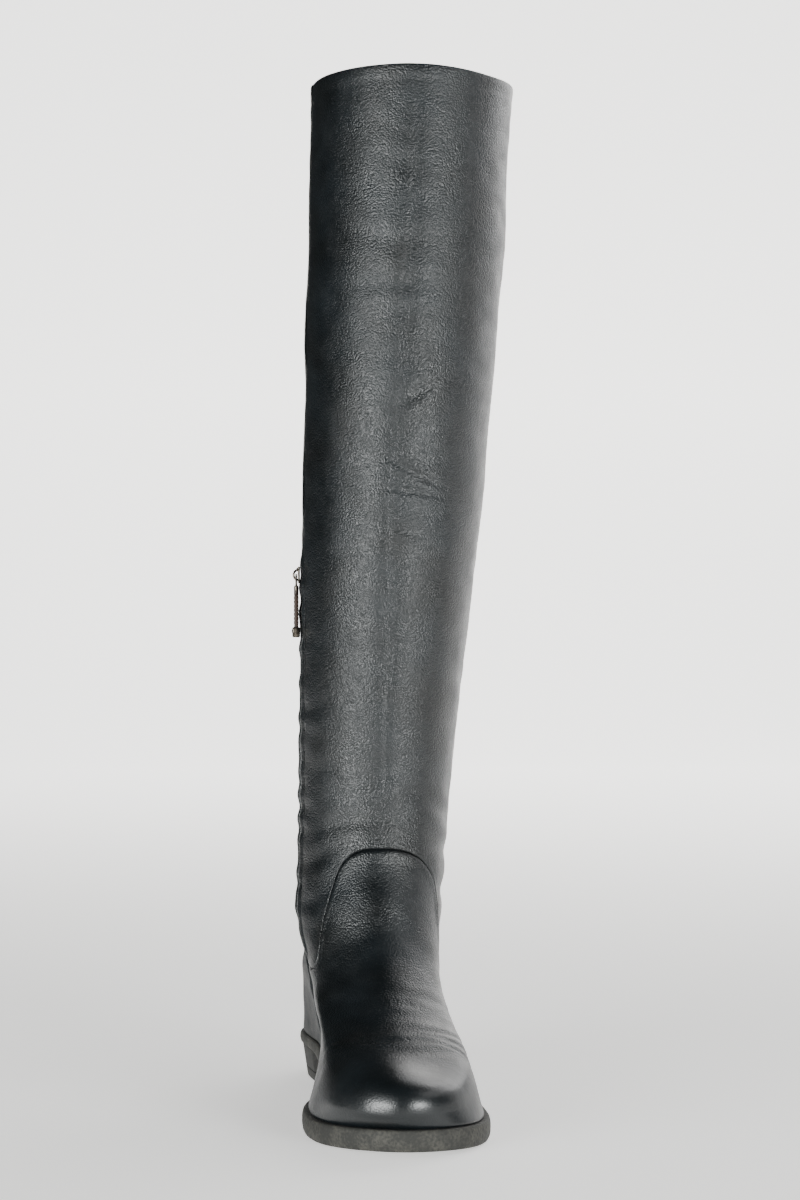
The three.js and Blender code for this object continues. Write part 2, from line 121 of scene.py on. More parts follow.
FOOT_OUTLINE = (
    OutlinePoint(0.0, 0.72, 0.72),
    OutlinePoint(0.16, 0.72, 0.71),
    OutlinePoint(0.34, 0.6, 0.68),
    OutlinePoint(0.5, 0.68, 0.8),
    OutlinePoint(0.62, 0.86, 0.94),
    OutlinePoint(0.72, 0.99, 0.99),
    OutlinePoint(0.86, 0.97, 0.98),
    OutlinePoint(1.0, 0.84, 0.98),
)


def ease(start: float, end: float, value: np.ndarray) -> np.ndarray:
    """Smooth step.

    Args:
        start: the value at which the step is 0.
        end: the value at which it is 1.
        value: the values to step.

    Returns:
        Numbers from 0 to 1.
    """
    share = np.clip((np.asarray(value, dtype=float) - start) / (end - start), 0, 1)
    return share * share * (3 - 2 * share)


def bump_at(distance: np.ndarray, width: float) -> np.ndarray:
    """A soft bump, 1 at distance 0 and about a third at one width."""
    return np.exp(-((distance / width) ** 2))


def wrap(angle: np.ndarray) -> np.ndarray:
    """The same angle, between half a turn back and half a turn on."""
    return (angle + math.pi) % FULL_TURN - math.pi


def edge_drop(distance: np.ndarray, radius: float) -> np.ndarray:
    """How far a rounded edge has dropped: 1 at the edge, 0 from one radius away."""
    return 1 - np.sqrt(1 - (1 - np.clip(distance / radius, 0, 1)) ** 2)


def curve_through(places: tuple, values: tuple, at: np.ndarray) -> np.ndarray:
    """Smooth curve through a few named points.

    Args:
        places: where the points lie, rising.
        values: the value at each point.
        at: where to read the curve.

    Returns:
        The curve's values, level past its ends.
    """
    x, y = np.array(places, dtype=float), np.array(values, dtype=float)
    slopes = np.gradient(y, x)
    slopes[0] = slopes[-1] = 0
    at = np.clip(at, x[0], x[-1])
    i = np.clip(np.searchsorted(x, at) - 1, 0, len(x) - 2)
    span = x[i + 1] - x[i]
    s = (at - x[i]) / span
    rise = s * s * (3 - 2 * s)
    bend = s * (1 - s) * span
    return y[i] + (y[i + 1] - y[i]) * rise + bend * (slopes[i] * (1 - s) - slopes[i + 1] * s)


@dataclass
class Shell:
    """The outer face of the upper as a function of turn and level."""

    forefoot: float = 11.5
    seat: float = 27.0
    toe_spring: float = 3.0
    heel_height: float = 20.0
    gap: float = 0.3
    table: np.ndarray = field(init=False)
    outline: np.ndarray = field(init=False)
    outline_slope: np.ndarray = field(init=False)

    def __post_init__(self) -> None:
        """Lays the two tables out as arrays."""
        names = [f.name for f in fields(Section)]
        self.table = np.array([[getattr(row, name) for name in names] for row in SECTIONS], dtype=float)
        self.outline = np.array([[p.along, p.inner, p.outer] for p in FOOT_OUTLINE])
        before = np.vstack([self.outline[:1], self.outline[:-1]])
        after = np.vstack([self.outline[1:], self.outline[-1:]])
        self.outline_slope = (after - before)[:, 1:] / (after - before)[:, :1]

    @property
    def top(self) -> float:
        """The collar's level."""
        return len(SECTIONS) - 1.0

    def row(self, level: np.ndarray) -> dict[str, np.ndarray]:
        """The table's columns at levels that may lie between two rows."""
        last = len(SECTIONS) - 1
        below = np.clip(np.floor(level).astype(int), 0, last - 1)
        share = (level - below)[..., None]
        a, b, c, d = (self.table[np.clip(below + step, 0, last)] for step in (-1, 0, 1, 2))
        cubic = (2 * a - 5 * b + 4 * c - d) * share**2 + (3 * b - a - 3 * c + d) * share**3
        values = 0.5 * (2 * b + (c - a) * share + cubic)
        return {f.name: values[..., i] for i, f in enumerate(fields(Section))}

    def foot_width(self, inner: np.ndarray, along: np.ndarray) -> np.ndarray:
        """Width of the foot's outline on the inner or outer side, at places along it."""
        places = self.outline[:, 0]
        i = np.clip(np.searchsorted(places, along) - 1, 0, len(places) - 2)
        column = np.where(inner, 1, 2)
        span = places[i + 1] - places[i]
        s = (along - places[i]) / span
        start, end = self.outline[i, column], self.outline[i + 1, column]
        slope_a, slope_b = self.outline_slope[i, column - 1], self.outline_slope[i + 1, column - 1]
        rise = s * s * (3 - 2 * s)
        return start + (end - start) * rise + s * (1 - s) * span * (slope_a * (1 - s) - slope_b * s)

    def _spring(self, y: np.ndarray) -> np.ndarray:
        """How far the toe is sprung off the floor, the whole toe_spring at the tip."""
        return self.toe_spring * ease(-185, -250, y) / ease(-185, -250, -228)

    def sole_top(self, y: np.ndarray) -> np.ndarray:
        """Height of the sole's top, on which the upper stands."""
        return self.forefoot + (self.seat - self.forefoot) * ease(-118, -34, y) + self._spring(y)

    def sole_underside(self, y: np.ndarray) -> np.ndarray:
        """Height of the sole's underside."""
        return self.heel_height * ease(-106, -26, y) + self._spring(y)

    def points(self, turn: np.ndarray, level: np.ndarray) -> np.ndarray:
        """Points of the shell, with x, y and z in the last axis."""
        turn, level = np.broadcast_arrays(np.asarray(turn, float), np.asarray(level, float))
        row = self.row(level)
        along = (1 + np.cos(turn)) / 2
        inner = np.sin(turn) < 0
        outline = 1 + (self.foot_width(inner, along) - 1) * np.maximum(0, row["foot"])
        into_toe = np.maximum(0, (row["toe_cap"] - (1 - along)) / row["toe_cap"])
        into_heel = np.maximum(0, (row["heel_cap"] - along) / row["heel_cap"])
        into = np.clip(np.maximum(into_toe, into_heel), 0, 1)
        reach = np.where(inner, -1, 1) * row["half"] * outline * np.sqrt(1 - into**2)
        x = row["back_x"] + (row["front_x"] - row["back_x"]) * along + reach
        y = row["back_y"] + (row["front_y"] - row["back_y"]) * along
        flat_ring = row["back_z"] + (row["front_z"] - row["back_z"]) * along
        flat_feather = SECTIONS[0].back_z + (SECTIONS[0].front_z - SECTIONS[0].back_z) * along
        z = flat_ring + (self.sole_top(y) + self.gap - flat_feather) * (1 - ease(0, 2, level))
        return np.stack([x, y, z], axis=-1)

    def normals(self, turn: np.ndarray, level: np.ndarray) -> np.ndarray:
        """Outward directions of the shell, level along the feather line."""
        turn, level = np.broadcast_arrays(np.asarray(turn, float), np.asarray(level, float))
        step = 0.02
        around = self.points(turn + step, level) - self.points(turn - step, level)
        upper, lower = np.minimum(self.top, level + step), np.maximum(0, level - step)
        normal = np.cross(around, self.points(turn, upper) - self.points(turn, lower))
        normal /= np.linalg.norm(normal, axis=-1, keepdims=True)
        normal[..., 2] *= ease(0, 1, level)
        outwards = self.points(turn, level) - self.points(turn + math.pi, level)
        normal *= np.where((normal * outwards).sum(-1) < 0, -1, 1)[..., None]
        return normal / np.linalg.norm(normal, axis=-1, keepdims=True)

    def place(self, turn: np.ndarray, level: np.ndarray, offset: np.ndarray | float) -> np.ndarray:
        """Points at a distance outside the shell."""
        normal = self.normals(turn, level)
        return self.points(turn, level) + normal * np.broadcast_to(offset, normal.shape[:-1])[..., None]

    def level_at(self, turn: np.ndarray, height: np.ndarray) -> np.ndarray:
        """The level at which the shell passes a height, at each turn."""
        turn, height = np.broadcast_arrays(np.asarray(turn, float), np.asarray(height, float))
        low, high = np.zeros_like(height), np.full_like(height, self.top)
        for _ in range(22):
            middle = (low + high) / 2
            under = self.points(turn, middle)[..., 2] < height
            low, high = np.where(under, middle, low), np.where(under, high, middle)
        return (low + high) / 2

    def reach(self, turn: np.ndarray, level: np.ndarray) -> np.ndarray:
        """Millimetres round the shell for each radian of turn."""
        step = 0.01
        ahead, behind = self.points(turn + step, level), self.points(turn - step, level)
        return np.linalg.norm(ahead - behind, axis=-1) / (2 * step)

    def spine(self, turns: np.ndarray) -> np.ndarray:
        """Points down the middle of the foot, each level with its turn on the feather line."""
        points = self.points(turns, 0 * turns)
        first = SECTIONS[0]
        points[:, 0] = first.back_x + (first.front_x - first.back_x) * (1 + np.cos(turns)) / 2
        return points


SHELL = Shell()


# ------------------------------------------------------------------ creases


@dataclass(frozen=True)
class LegCrease:
    """A soft fold in the shaft, placed by turn and height.

    turn and slope are in degrees, and the rest is in millimetres. A slope of 0 runs level
    round the leg. sag bows the fold's middle down, and ridge is the share of the depth that
    rises on each side of it.
    """

    turn: float
    height: float
    length: float
    slope: float
    depth: float
    width: float
    sag: float = 0.0
    ridge: float = 0.55

    def relief(self, turn: np.ndarray, height: np.ndarray) -> np.ndarray:
        """Height of the leather, in millimetres, that the fold adds."""
        across = wrap(turn - math.radians(self.turn)) * LEG_RADIUS
        up = height - self.height
        angle = math.radians(self.slope)
        along = across * math.cos(angle) + up * math.sin(angle)
        off = up * math.cos(angle) - across * math.sin(angle)
        off = off + self.sag * (1 - (2 * along / self.length) ** 2)
        return fold_profile(off, along, self.length, self.depth, self.width, self.ridge)


@dataclass(frozen=True)
class FootCrease:
    """A soft fold over the foot, placed by x and y.

    It runs across the foot. slope is how far its outer end lies behind its inner end for
    each millimetre, and bow is how far its middle lies in front of its ends.
    """

    x: float
    y: float
    length: float
    slope: float
    bow: float
    depth: float
    width: float
    ridge: float = 0.55

    def relief(self, x: np.ndarray, y: np.ndarray) -> np.ndarray:
        """Height of the leather, in millimetres, that the fold adds."""
        along = x - self.x
        line = self.y + self.slope * along - self.bow * (1 - (2 * along / self.length) ** 2)
        return fold_profile(y - line, along, self.length, self.depth, self.width, self.ridge)


def fold_profile(
    off: np.ndarray, along: np.ndarray, length: float, depth: float, width: float, ridge: float
) -> np.ndarray:
    """A trough between two ridges that fades out at its ends.

    Args:
        off: distance to the side of the fold's line.
        along: distance from the fold's middle along its line.
        length, depth, width: the fold's size.
        ridge: share of the depth that rises on each side.

    Returns:
        Heights in millimetres.
    """
    fade = np.exp(-1.6 * (2 * along / length) ** 2)
    sides = bump_at(off - 1.9 * width, width) + bump_at(off + 1.9 * width, width)
    return depth * fade * (ridge * sides - bump_at(off, width))


def waviness(seed: int, waves: int, shortest: float, longest: float, *at: np.ndarray) -> np.ndarray:
    """Soft random unevenness, made of a few sine waves.

    Args:
        seed: picks the waves.
        waves: how many there are.
        shortest, longest: their lengths in millimetres.
        at: coordinates in millimetres.

    Returns:
        Heights of about 1 at most.
    """
    rng = np.random.default_rng(seed)
    total = np.zeros(np.broadcast(*at).shape)
    for _ in range(waves):
        direction = rng.normal(size=len(at))
        direction /= np.linalg.norm(direction)
        length = rng.uniform(shortest, longest)
        phase = rng.uniform(0, FULL_TURN)
        total += np.sin(sum(d * c for d, c in zip(direction, at)) * FULL_TURN / length + phase)
    return total / math.sqrt(2 * waves)


# ------------------------------------------------------------------ mesh helpers


def only(obj: bpy.types.Object) -> bpy.types.Object:
    """Selects one object alone and makes it active."""
    bpy.ops.object.select_all(action="DESELECT")
    obj.select_set(True)
    bpy.context.view_layer.objects.active = obj
    return obj


def apply_all(obj: bpy.types.Object) -> bpy.types.Object:
    """Applies an object's place and then its modifiers, in order."""
    only(obj)
    bpy.ops.object.transform_apply(location=True, rotation=True, scale=True)
    for modifier in list(obj.modifiers):
        bpy.ops.object.modifier_apply(modifier=modifier.name)
    return obj


def smooth(obj: bpy.types.Object, degrees: float | None = None) -> bpy.types.Object:
    """Shades an object smooth, or only below an angle between faces."""
    only(obj)
    if degrees is None:
        bpy.ops.object.shade_smooth()
    else:
        bpy.ops.object.shade_smooth_by_angle(angle=math.radians(degrees))
    return obj


def edit(obj: bpy.types.Object, *steps: tuple) -> bpy.types.Object:
    """Runs mesh operators on everything in one object.

    Args:
        obj: the object.
        steps: pairs of an operator and its settings.

    Returns:
        The same object.
    """
    only(obj)
    bpy.ops.object.mode_set(mode="EDIT")
    for operator, settings in steps:
        bpy.ops.mesh.select_all(action="SELECT")
        operator(**settings)
    bpy.ops.object.mode_set(mode="OBJECT")
    return obj


def primitive(operator: bpy.types.Operator, name: str, **settings) -> bpy.types.Object:
    """One new primitive, named and alone in the selection."""
    bpy.ops.object.select_all(action="DESELECT")
    operator(**settings)
    obj = bpy.context.object
    obj.name = obj.data.name = name
    return obj


def lay_sheet(name: str, points: np.ndarray, outward: np.ndarray, seam: bool) -> bpy.types.Object:
    """A sheet laid over a grid of points.

    Args:
        name: the piece's name.
        points: rows by columns by 3, in millimetres.
        outward: the direction that the first patch should face.
        seam: whether the last column meets the first one.

    Returns:
        The sheet, smooth and facing outwards.
    """
    rows, columns = points.shape[:2]
    grid = bpy.ops.mesh.primitive_grid_add
    obj = primitive(grid, name, x_subdivisions=columns - 1, y_subdivisions=rows - 1, size=1)
    obj.data.vertices.foreach_set("co", (points * MM).ravel())
    corner = points[:2, :2]
    facing = np.cross(corner[0, 1] - corner[0, 0], corner[1, 0] - corner[0, 0])
    if float(facing @ outward) < 0:
        edit(obj, (bpy.ops.mesh.flip_normals, {}))
    if seam:
        edit(obj, (bpy.ops.mesh.remove_doubles, {"threshold": 0.00002}))
    obj.data.update()
    return smooth(obj)


def join(name: str, pieces: list[bpy.types.Object]) -> bpy.types.Object:
    """Joins pieces into one named object."""
    bpy.ops.object.select_all(action="DESELECT")
    for piece in pieces:
        piece.select_set(True)
    bpy.context.view_layer.objects.active = pieces[0]
    if len(pieces) > 1:
        bpy.ops.object.join()
    obj = bpy.context.object
    obj.name = obj.data.name = name
    return obj


def repeat(name: str, pattern: bpy.types.Object, frames: list[Matrix]) -> bpy.types.Object:
    """Copies one small shape to many places as one mesh.

    Args:
        name: the joined piece's name.
        pattern: the shape, in metres round its own origin; it is used up.
        frames: where each copy goes.

    Returns:
        The joined piece.
    """
    count = len(pattern.data.vertices)
    local = np.empty(count * 3)
    pattern.data.vertices.foreach_get("co", local)
    local = np.c_[local.reshape(-1, 3), np.ones(count)]
    faces = [tuple(polygon.vertices) for polygon in pattern.data.polygons]
    places = np.concatenate([local @ np.array(matrix.transposed()) for matrix in frames])[:, :3]
    mesh = bpy.data.meshes.new(name)
    every = [tuple(v + i * count for v in face) for i in range(len(frames)) for face in faces]
    mesh.from_pydata(places.tolist(), [], every)
    obj = bpy.data.objects.new(name, mesh)
    bpy.context.scene.collection.objects.link(obj)
    bpy.data.objects.remove(pattern)
    return smooth(obj)


def frame_from(origin: np.ndarray, along: np.ndarray, out: np.ndarray) -> Matrix:
    """A place for a small piece: its x runs along, its z points out.

    Args:
        origin: where it goes, in millimetres.
        along, out: directions, not necessarily square to each other.

    Returns:
        A matrix in metres.
    """
    x = Vector(along).normalized()
    y = Vector(out).cross(x).normalized()
    z = x.cross(y)
    matrix = Matrix((x, y, z)).transposed().to_4x4()
    matrix.translation = Vector(origin) * MM
    return matrix


def rounded_block(
    name: str, size: tuple, middle: tuple, radius: float, segments: int = 3
) -> bpy.types.Object:
    """A block with rounded edges.

    Args:
        name: the piece's name.
        size, middle: in millimetres.
        radius: of every edge.
        segments: facets in each round.

    Returns:
        The block.
    """
    cube = bpy.ops.mesh.primitive_cube_add
    obj = primitive(cube, name, size=1, location=Vector(middle) * MM, scale=Vector(size) * MM)
    bevel = obj.modifiers.new("round", "BEVEL")
    bevel.width, bevel.segments, bevel.limit_method = radius * MM, segments, "NONE"
    return smooth(apply_all(obj), 40)


# ------------------------------------------------------------------ materials


def linear(hex_colour: str) -> tuple[float, float, float, float]:
    """An sRGB hex colour as linear RGBA."""
    channels = [int(hex_colour[i : i + 2], 16) / 255 for i in (1, 3, 5)]
    return (*[c / 12.92 if c <= 0.04045 else ((c + 0.055) / 1.055) ** 2.4 for c in channels], 1.0)


def add_node(tree: bpy.types.NodeTree, kind: str, inputs: dict | None = None, **settings) -> bpy.types.Node:
    """Adds one node with its settings, values and links.

    Args:
        tree: the material's node tree.
        kind: the node's type.
        inputs: socket name or number to a value or to the output socket that feeds it.
        settings: the node's own properties.

    Returns:
        The node.
    """
    node = tree.nodes.new(kind)
    for name, value in settings.items():
        setattr(node, name, value)
    for name, value in (inputs or {}).items():
        if isinstance(value, bpy.types.NodeSocket):
            tree.links.new(value, node.inputs[name])
        else:
            node.inputs[name].default_value = value
    return node


def ramp(tree: bpy.types.NodeTree, factor: bpy.types.NodeSocket, *stops: tuple[float, str]) -> bpy.types.Node:
    """A colour ramp with sRGB stops."""
    node = add_node(tree, "ShaderNodeValToRGB", {"Fac": factor})
    elements = node.color_ramp.elements
    while len(elements) < len(stops):
        elements.new(0.5)
    for element, (position, colour) in zip(elements, stops):
        element.position, element.color = position, linear(colour)
    return node


def noise(
    tree: bpy.types.NodeTree, place: bpy.types.NodeSocket, size_mm: float, detail: float
) -> bpy.types.Node:
    """Soft noise whose patches are about size_mm wide."""
    return add_node(tree, "ShaderNodeTexNoise", {"Vector": place, "Scale": 1000 / size_mm, "Detail": detail})


def cells(
    tree: bpy.types.NodeTree, place: bpy.types.NodeSocket, size_mm: float, **settings
) -> bpy.types.Node:
    """Pebbles or pores about size_mm wide."""
    return add_node(tree, "ShaderNodeTexVoronoi", {"Vector": place, "Scale": 1000 / size_mm}, **settings)


def remap(
    tree: bpy.types.NodeTree,
    value: bpy.types.NodeSocket,
    source: tuple,
    target: tuple,
    smooth_step: bool = False,
) -> bpy.types.NodeSocket:
    """One range of numbers laid onto another.

    Args:
        tree: the material's node tree.
        value: the numbers.
        source, target: the start and end of each range.
        smooth_step: whether the change eases in and out.

    Returns:
        The new numbers.
    """
    ends = {"From Min": source[0], "From Max": source[1], "To Min": target[0], "To Max": target[1]}
    kind = "SMOOTHSTEP" if smooth_step else "LINEAR"
    node = add_node(tree, "ShaderNodeMapRange", {"Value": value, **ends}, interpolation_type=kind)
    return node.outputs["Result"]


def relief(
    tree: bpy.types.NodeTree,
    height: bpy.types.NodeSocket,
    depth_mm: float,
    strength: float | bpy.types.NodeSocket,
    over: bpy.types.Node | None = None,
    hollow: bool = False,
) -> bpy.types.Node:
    """Fine relief in a surface.

    Args:
        tree: the material's node tree.
        height: the pattern, from 0 to 1.
        depth_mm: its depth.
        strength: how much of it shows.
        over: coarser relief that it lies on.
        hollow: whether the pattern's high parts are sunk.

    Returns:
        The node.
    """
    inputs = {"Height": height, "Distance": depth_mm * MM, "Strength": strength}
    if over is not None:
        inputs["Normal"] = over.outputs["Normal"]
    return add_node(tree, "ShaderNodeBump", inputs, invert=hollow)


def surface(
    tree: bpy.types.NodeTree,
    colour: tuple | bpy.types.NodeSocket,
    roughness: float | bpy.types.NodeSocket,
    fine: bpy.types.Node,
    more: dict | None = None,
) -> bpy.types.Node:
    """The shader of a finish.

    Args:
        tree: the material's node tree.
        colour, roughness: its colour and how dull it is.
        fine: its relief.
        more: other inputs by name.

    Returns:
        The shader.
    """
    inputs = {"Base Color": colour, "Roughness": roughness, "Normal": fine.outputs["Normal"]}
    return add_node(tree, "ShaderNodeBsdfPrincipled", {**inputs, **(more or {})})


@dataclass(frozen=True)
class Finish:
    """A material with its name and how it is made."""

    name: str

    def material(self) -> bpy.types.Material:
        """The material, made once."""
        known = bpy.data.materials.get(self.name)
        if known:
            return known
        made = bpy.data.materials.new(self.name)
        made.use_nodes = True
        tree = made.node_tree
        tree.nodes.clear()
        shader = self.build(tree, add_node(tree, "ShaderNodeTexCoord").outputs["Object"])
        add_node(tree, "ShaderNodeOutputMaterial", {"Surface": shader.outputs[0]})
        return made

    def build(self, tree: bpy.types.NodeTree, place: bpy.types.NodeSocket) -> bpy.types.Node:
        """Makes the nodes over the object's own coordinates and returns the shader."""
        raise NotImplementedError

    def dress(self, obj: bpy.types.Object) -> bpy.types.Object:
        """Gives an object this finish alone."""
        obj.data.materials.clear()
        obj.data.materials.append(self.material())
        return obj


@dataclass(frozen=True)
class GrainLeather(Finish):
    """Aniline-dyed full-grain calf: a soft pebble with pores, polished by wear.

    The pebble breaks the highlights into a sparkle, the polish lets broad reflections
    through, and dye that has rubbed thin shows as slightly paler leather. Over the toe box
    the leather is stretched smooth and buffed.
    """

    deep: str = "#06090a"
    worn: str = "#12171a"
    roughness: float = 0.34
    specular: float = 0.5
    pebble_mm: float = 1.1
    pore_mm: float = 0.5
    relief_mm: float = 0.28
    pore_share: float = 0.3
    roll_mm: float = 0.9
    buffed_roughness: float = 0.3
    buffed_grain: float = 0.22
    toe_from: float = -0.165
    toe_to: float = -0.2

    def build(self, tree: bpy.types.NodeTree, place: bpy.types.NodeSocket) -> bpy.types.Node:
        """Pebble, pores, a slow change of dye and polish, and the buffed toe."""
        along = add_node(tree, "ShaderNodeSeparateXYZ", {0: place})
        grainy = remap(tree, along.outputs["Y"], (self.toe_to, self.toe_from), (self.buffed_grain, 1.0), True)
        drift = noise(tree, place, 4.0, 2.0)
        warped = add_node(
            tree, "ShaderNodeMix", {0: self.pebble_mm * MM, 6: place, 7: drift.outputs["Color"]},
            data_type="RGBA", blend_type="ADD",
        )
        pebble = cells(tree, warped.outputs[2], self.pebble_mm)
        pore = cells(tree, warped.outputs[2], self.pore_mm)
        broad = noise(tree, place, 30.0, 4.0)
        patch = noise(tree, place, 14.0, 2.0)
        dye = ramp(tree, broad.outputs["Fac"], (0.3, self.deep), (0.75, self.worn))
        polish = remap(
            tree, patch.outputs["Fac"], (0.3, 0.7), (self.roughness - 0.05, self.roughness + 0.08)
        )
        dullness = add_node(tree, "ShaderNodeMix", {0: grainy, 2: self.buffed_roughness, 3: polish})
        rolling = relief(tree, patch.outputs["Fac"], self.roll_mm, 0.35)
        coarse = relief(tree, pebble.outputs["Distance"], self.relief_mm, grainy, rolling, True)
        pores = relief(tree, pore.outputs["Distance"], self.relief_mm * self.pore_share, grainy, coarse, True)
        return surface(
            tree, dye.outputs["Color"], dullness.outputs[0], pores, {"Specular IOR Level": self.specular}
        )


@dataclass(frozen=True)
class PlainLeather(Finish):
    """Vegetable-tanned or lining leather: matt, with fine pores and uneven tan."""

    pale: str = "#9a7f63"
    dark: str = "#6f5640"
    roughness: float = 0.62
    pore_mm: float = 0.7

    def build(self, tree: bpy.types.NodeTree, place: bpy.types.NodeSocket) -> bpy.types.Node:
        """Fine pores over a slowly changing tan."""
        broad = noise(tree, place, 12.0, 5.0)
        pore = cells(tree, place, self.pore_mm)
        tan = ramp(tree, broad.outputs["Fac"], (0.3, self.dark), (0.7, self.pale))
        pores = relief(tree, pore.outputs["Distance"], 0.06, 0.6, hollow=True)
        return surface(tree, tan.outputs["Color"], self.roughness, pores)


@dataclass(frozen=True)
class CrepeRubber(Finish):
    """Moulded rubber with a pebbled skin, dull, with floor dust caught between the pebbles."""

    rubber: str = "#20201d"
    dust: str = "#4f4d46"
    roughness: float = 0.78
    pebble_mm: float = 1.6
    relief_mm: float = 0.4
    dust_share: float = 0.5

    def build(self, tree: bpy.types.NodeTree, place: bpy.types.NodeSocket) -> bpy.types.Node:
        """Pebbles in relief, with dust where two noises meet."""
        pebble = cells(tree, place, self.pebble_mm, feature="SMOOTH_F1")
        patch, speck = noise(tree, place, 14.0, 5.0), noise(tree, place, 1.6, 3.0)
        dusty = add_node(
            tree, "ShaderNodeMath", {0: patch.outputs["Fac"], 1: speck.outputs["Fac"]}, operation="MULTIPLY"
        )
        share = remap(tree, dusty.outputs[0], (0.2, 0.42), (0.0, self.dust_share))
        colour = ramp(tree, share, (0.0, self.rubber), (1.0, self.dust))
        pebbles = relief(tree, pebble.outputs["Distance"], self.relief_mm, 0.7, hollow=True)
        return surface(tree, colour.outputs["Color"], self.roughness, pebbles)


@dataclass(frozen=True)
class WovenTape(Finish):
    """Polyester herringbone tape: fine ribs that catch a little light."""

    colour: str = "#0b0b0c"
    lit: str = "#1d1d1f"
    roughness: float = 0.8
    thread_mm: float = 0.5

    def build(self, tree: bpy.types.NodeTree, place: bpy.types.NodeSocket) -> bpy.types.Node:
        """Ribs across the tape."""
        rib = add_node(
            tree, "ShaderNodeTexWave",
            {"Vector": place, "Scale": 1000 / self.thread_mm / FULL_TURN, "Distortion": 0.6},
            wave_type="BANDS", bands_direction="Z",
        )
        colour = ramp(tree, rib.outputs["Fac"], (0.2, self.colour), (0.9, self.lit))
        ribs = relief(tree, rib.outputs["Fac"], 0.12, 0.7)
        return surface(tree, colour.outputs["Color"], self.roughness, ribs)


@dataclass(frozen=True)
class DrawnNylon(Finish):
    """Nylon monofilament or waxed thread: black, with a soft shine."""

    colour: str = "#0d0e0f"
    roughness: float = 0.42

    def build(self, tree: bpy.types.NodeTree, place: bpy.types.NodeSocket) -> bpy.types.Node:
        """A faint change of polish along the filament."""
        uneven = noise(tree, place, 1.2, 2.0).outputs["Fac"]
        polish = remap(tree, uneven, (0.0, 1.0), (self.roughness - 0.08, self.roughness + 0.1))
        return surface(tree, linear(self.colour), polish, relief(tree, uneven, 0.04, 0.5))


@dataclass(frozen=True)
class PlatedZinc(Finish):
    """Nickel-plated die-cast zinc, dulled and finely scratched by handling."""

    bright: str = "#857d72"
    dull: str = "#2e2a26"
    roughness: float = 0.3

    def build(self, tree: bpy.types.NodeTree, place: bpy.types.NodeSocket) -> bpy.types.Node:
        """Tarnish patches and scratches a quarter of a millimetre apart."""
        patch = noise(tree, place, 2.2, 4.0)
        scratch = noise(tree, place, 0.25, 1.0).outputs["Fac"]
        metal = ramp(tree, patch.outputs["Fac"], (0.42, self.dull), (0.7, self.bright))
        polish = remap(tree, scratch, (0.0, 1.0), (self.roughness - 0.08, self.roughness + 0.16))
        scratches = relief(tree, scratch, 0.02, 0.4)
        return surface(tree, metal.outputs["Color"], polish, scratches, {"Metallic": 1.0})


@dataclass(frozen=True)
class StudioPaper(Finish):
    """Seamless white background paper: dead matt, with the faintest tooth.

    It glows a little, though it is no lamp: this is painted light that keeps it white round a
    black boot and lights the boot as well. Nearer than the toe, out of the picture, the painted glow is
    dimmer.
    """

    colour: str = "#efeeec"
    front_glow: float = 0.1
    floor_glow: float = 0.8
    wall_glow: float = 2.5

    def build(self, tree: bpy.types.NodeTree, place: bpy.types.NodeSocket) -> bpy.types.Node:
        """Plain matt paper with a painted glow, brighter towards the back."""
        along = add_node(tree, "ShaderNodeSeparateXYZ", {0: place}).outputs["Y"]
        to_wall = remap(tree, along, (0.0, 2.6), (self.floor_glow, self.wall_glow), True)
        to_front = remap(tree, along, (-0.75, -0.33), (self.front_glow - self.floor_glow, 0.0), True)
        glow = add_node(tree, "ShaderNodeMath", {0: to_wall, 1: to_front}, operation="ADD")
        tooth = relief(tree, noise(tree, place, 2.0, 2.0).outputs["Fac"], 0.05, 0.2)
        # the emission below is painted light: the paper glows though it is no lamp
        lit = {
            "Specular IOR Level": 0.1,
            "Emission Color": linear(self.colour),
            "Emission Strength": glow.outputs[0],
        }
        return surface(tree, linear(self.colour), 0.95, tooth, lit)


class Finishes(Enum):
    """Every finish on the boot."""

    VAMP = GrainLeather("full_grain_calf_vamp", relief_mm=0.24)
    SHAFT = GrainLeather("full_grain_calf_shaft")
    QUARTER = GrainLeather("full_grain_calf_quarter", roughness=0.52, specular=0.3, relief_mm=0.15)
    LINING = PlainLeather("lining_leather")
    INSOLE = PlainLeather("vegetable_tanned_sock", pale="#8d6e50", dark="#5c4430")
    TAB = PlainLeather("oiled_brown_tab_leather", pale="#3f2b1d", dark="#241812", roughness=0.5)
    SOLE = CrepeRubber("moulded_crepe_rubber")
    HEEL = CrepeRubber(
        "moulded_heel_rubber", rubber="#1d1d1c", pebble_mm=2.2, relief_mm=0.15, dust_share=0.25
    )
    TAPE = WovenTape("polyester_zip_tape")
    TEETH = DrawnNylon("nylon_coil_teeth")
    THREAD = DrawnNylon("waxed_black_thread", colour="#0a0b0c", roughness=0.5)
    METAL = PlatedZinc("nickel_plated_zinc")
    PAPER = StudioPaper("white_background_paper")


# ------------------------------------------------------------------ leather skins


@dataclass
class SeamLine:
    """The turned seam that joins the vamp and quarter below to the shaft above.

    It is a tongue over the instep that drops steeply to the sides of the ankle.
    Turns are in degrees and heights in millimetres.
    """

    inner_turns: tuple = (-180, -120, -84, -70, -54, -46, -37, -30, -22, -13)
    inner_heights: tuple = (92, 84, 77, 77, 88, 104, 121, 134, 141, 144.5)
    outer_turns: tuple = (0, 14, 28, 41, 54, 66, 74, 84, 120, 180)
    outer_heights: tuple = (145.5, 145, 142, 136, 124, 100, 84, 76, 83, 92)

    def height(self, turn: np.ndarray) -> np.ndarray:
        """The seam's height at each turn."""
        turns, heights = self.inner_turns + self.outer_turns, self.inner_heights + self.outer_heights
        return curve_through(turns, heights, (np.degrees(turn) + 180) % 360 - 180)


SEAM = SeamLine()


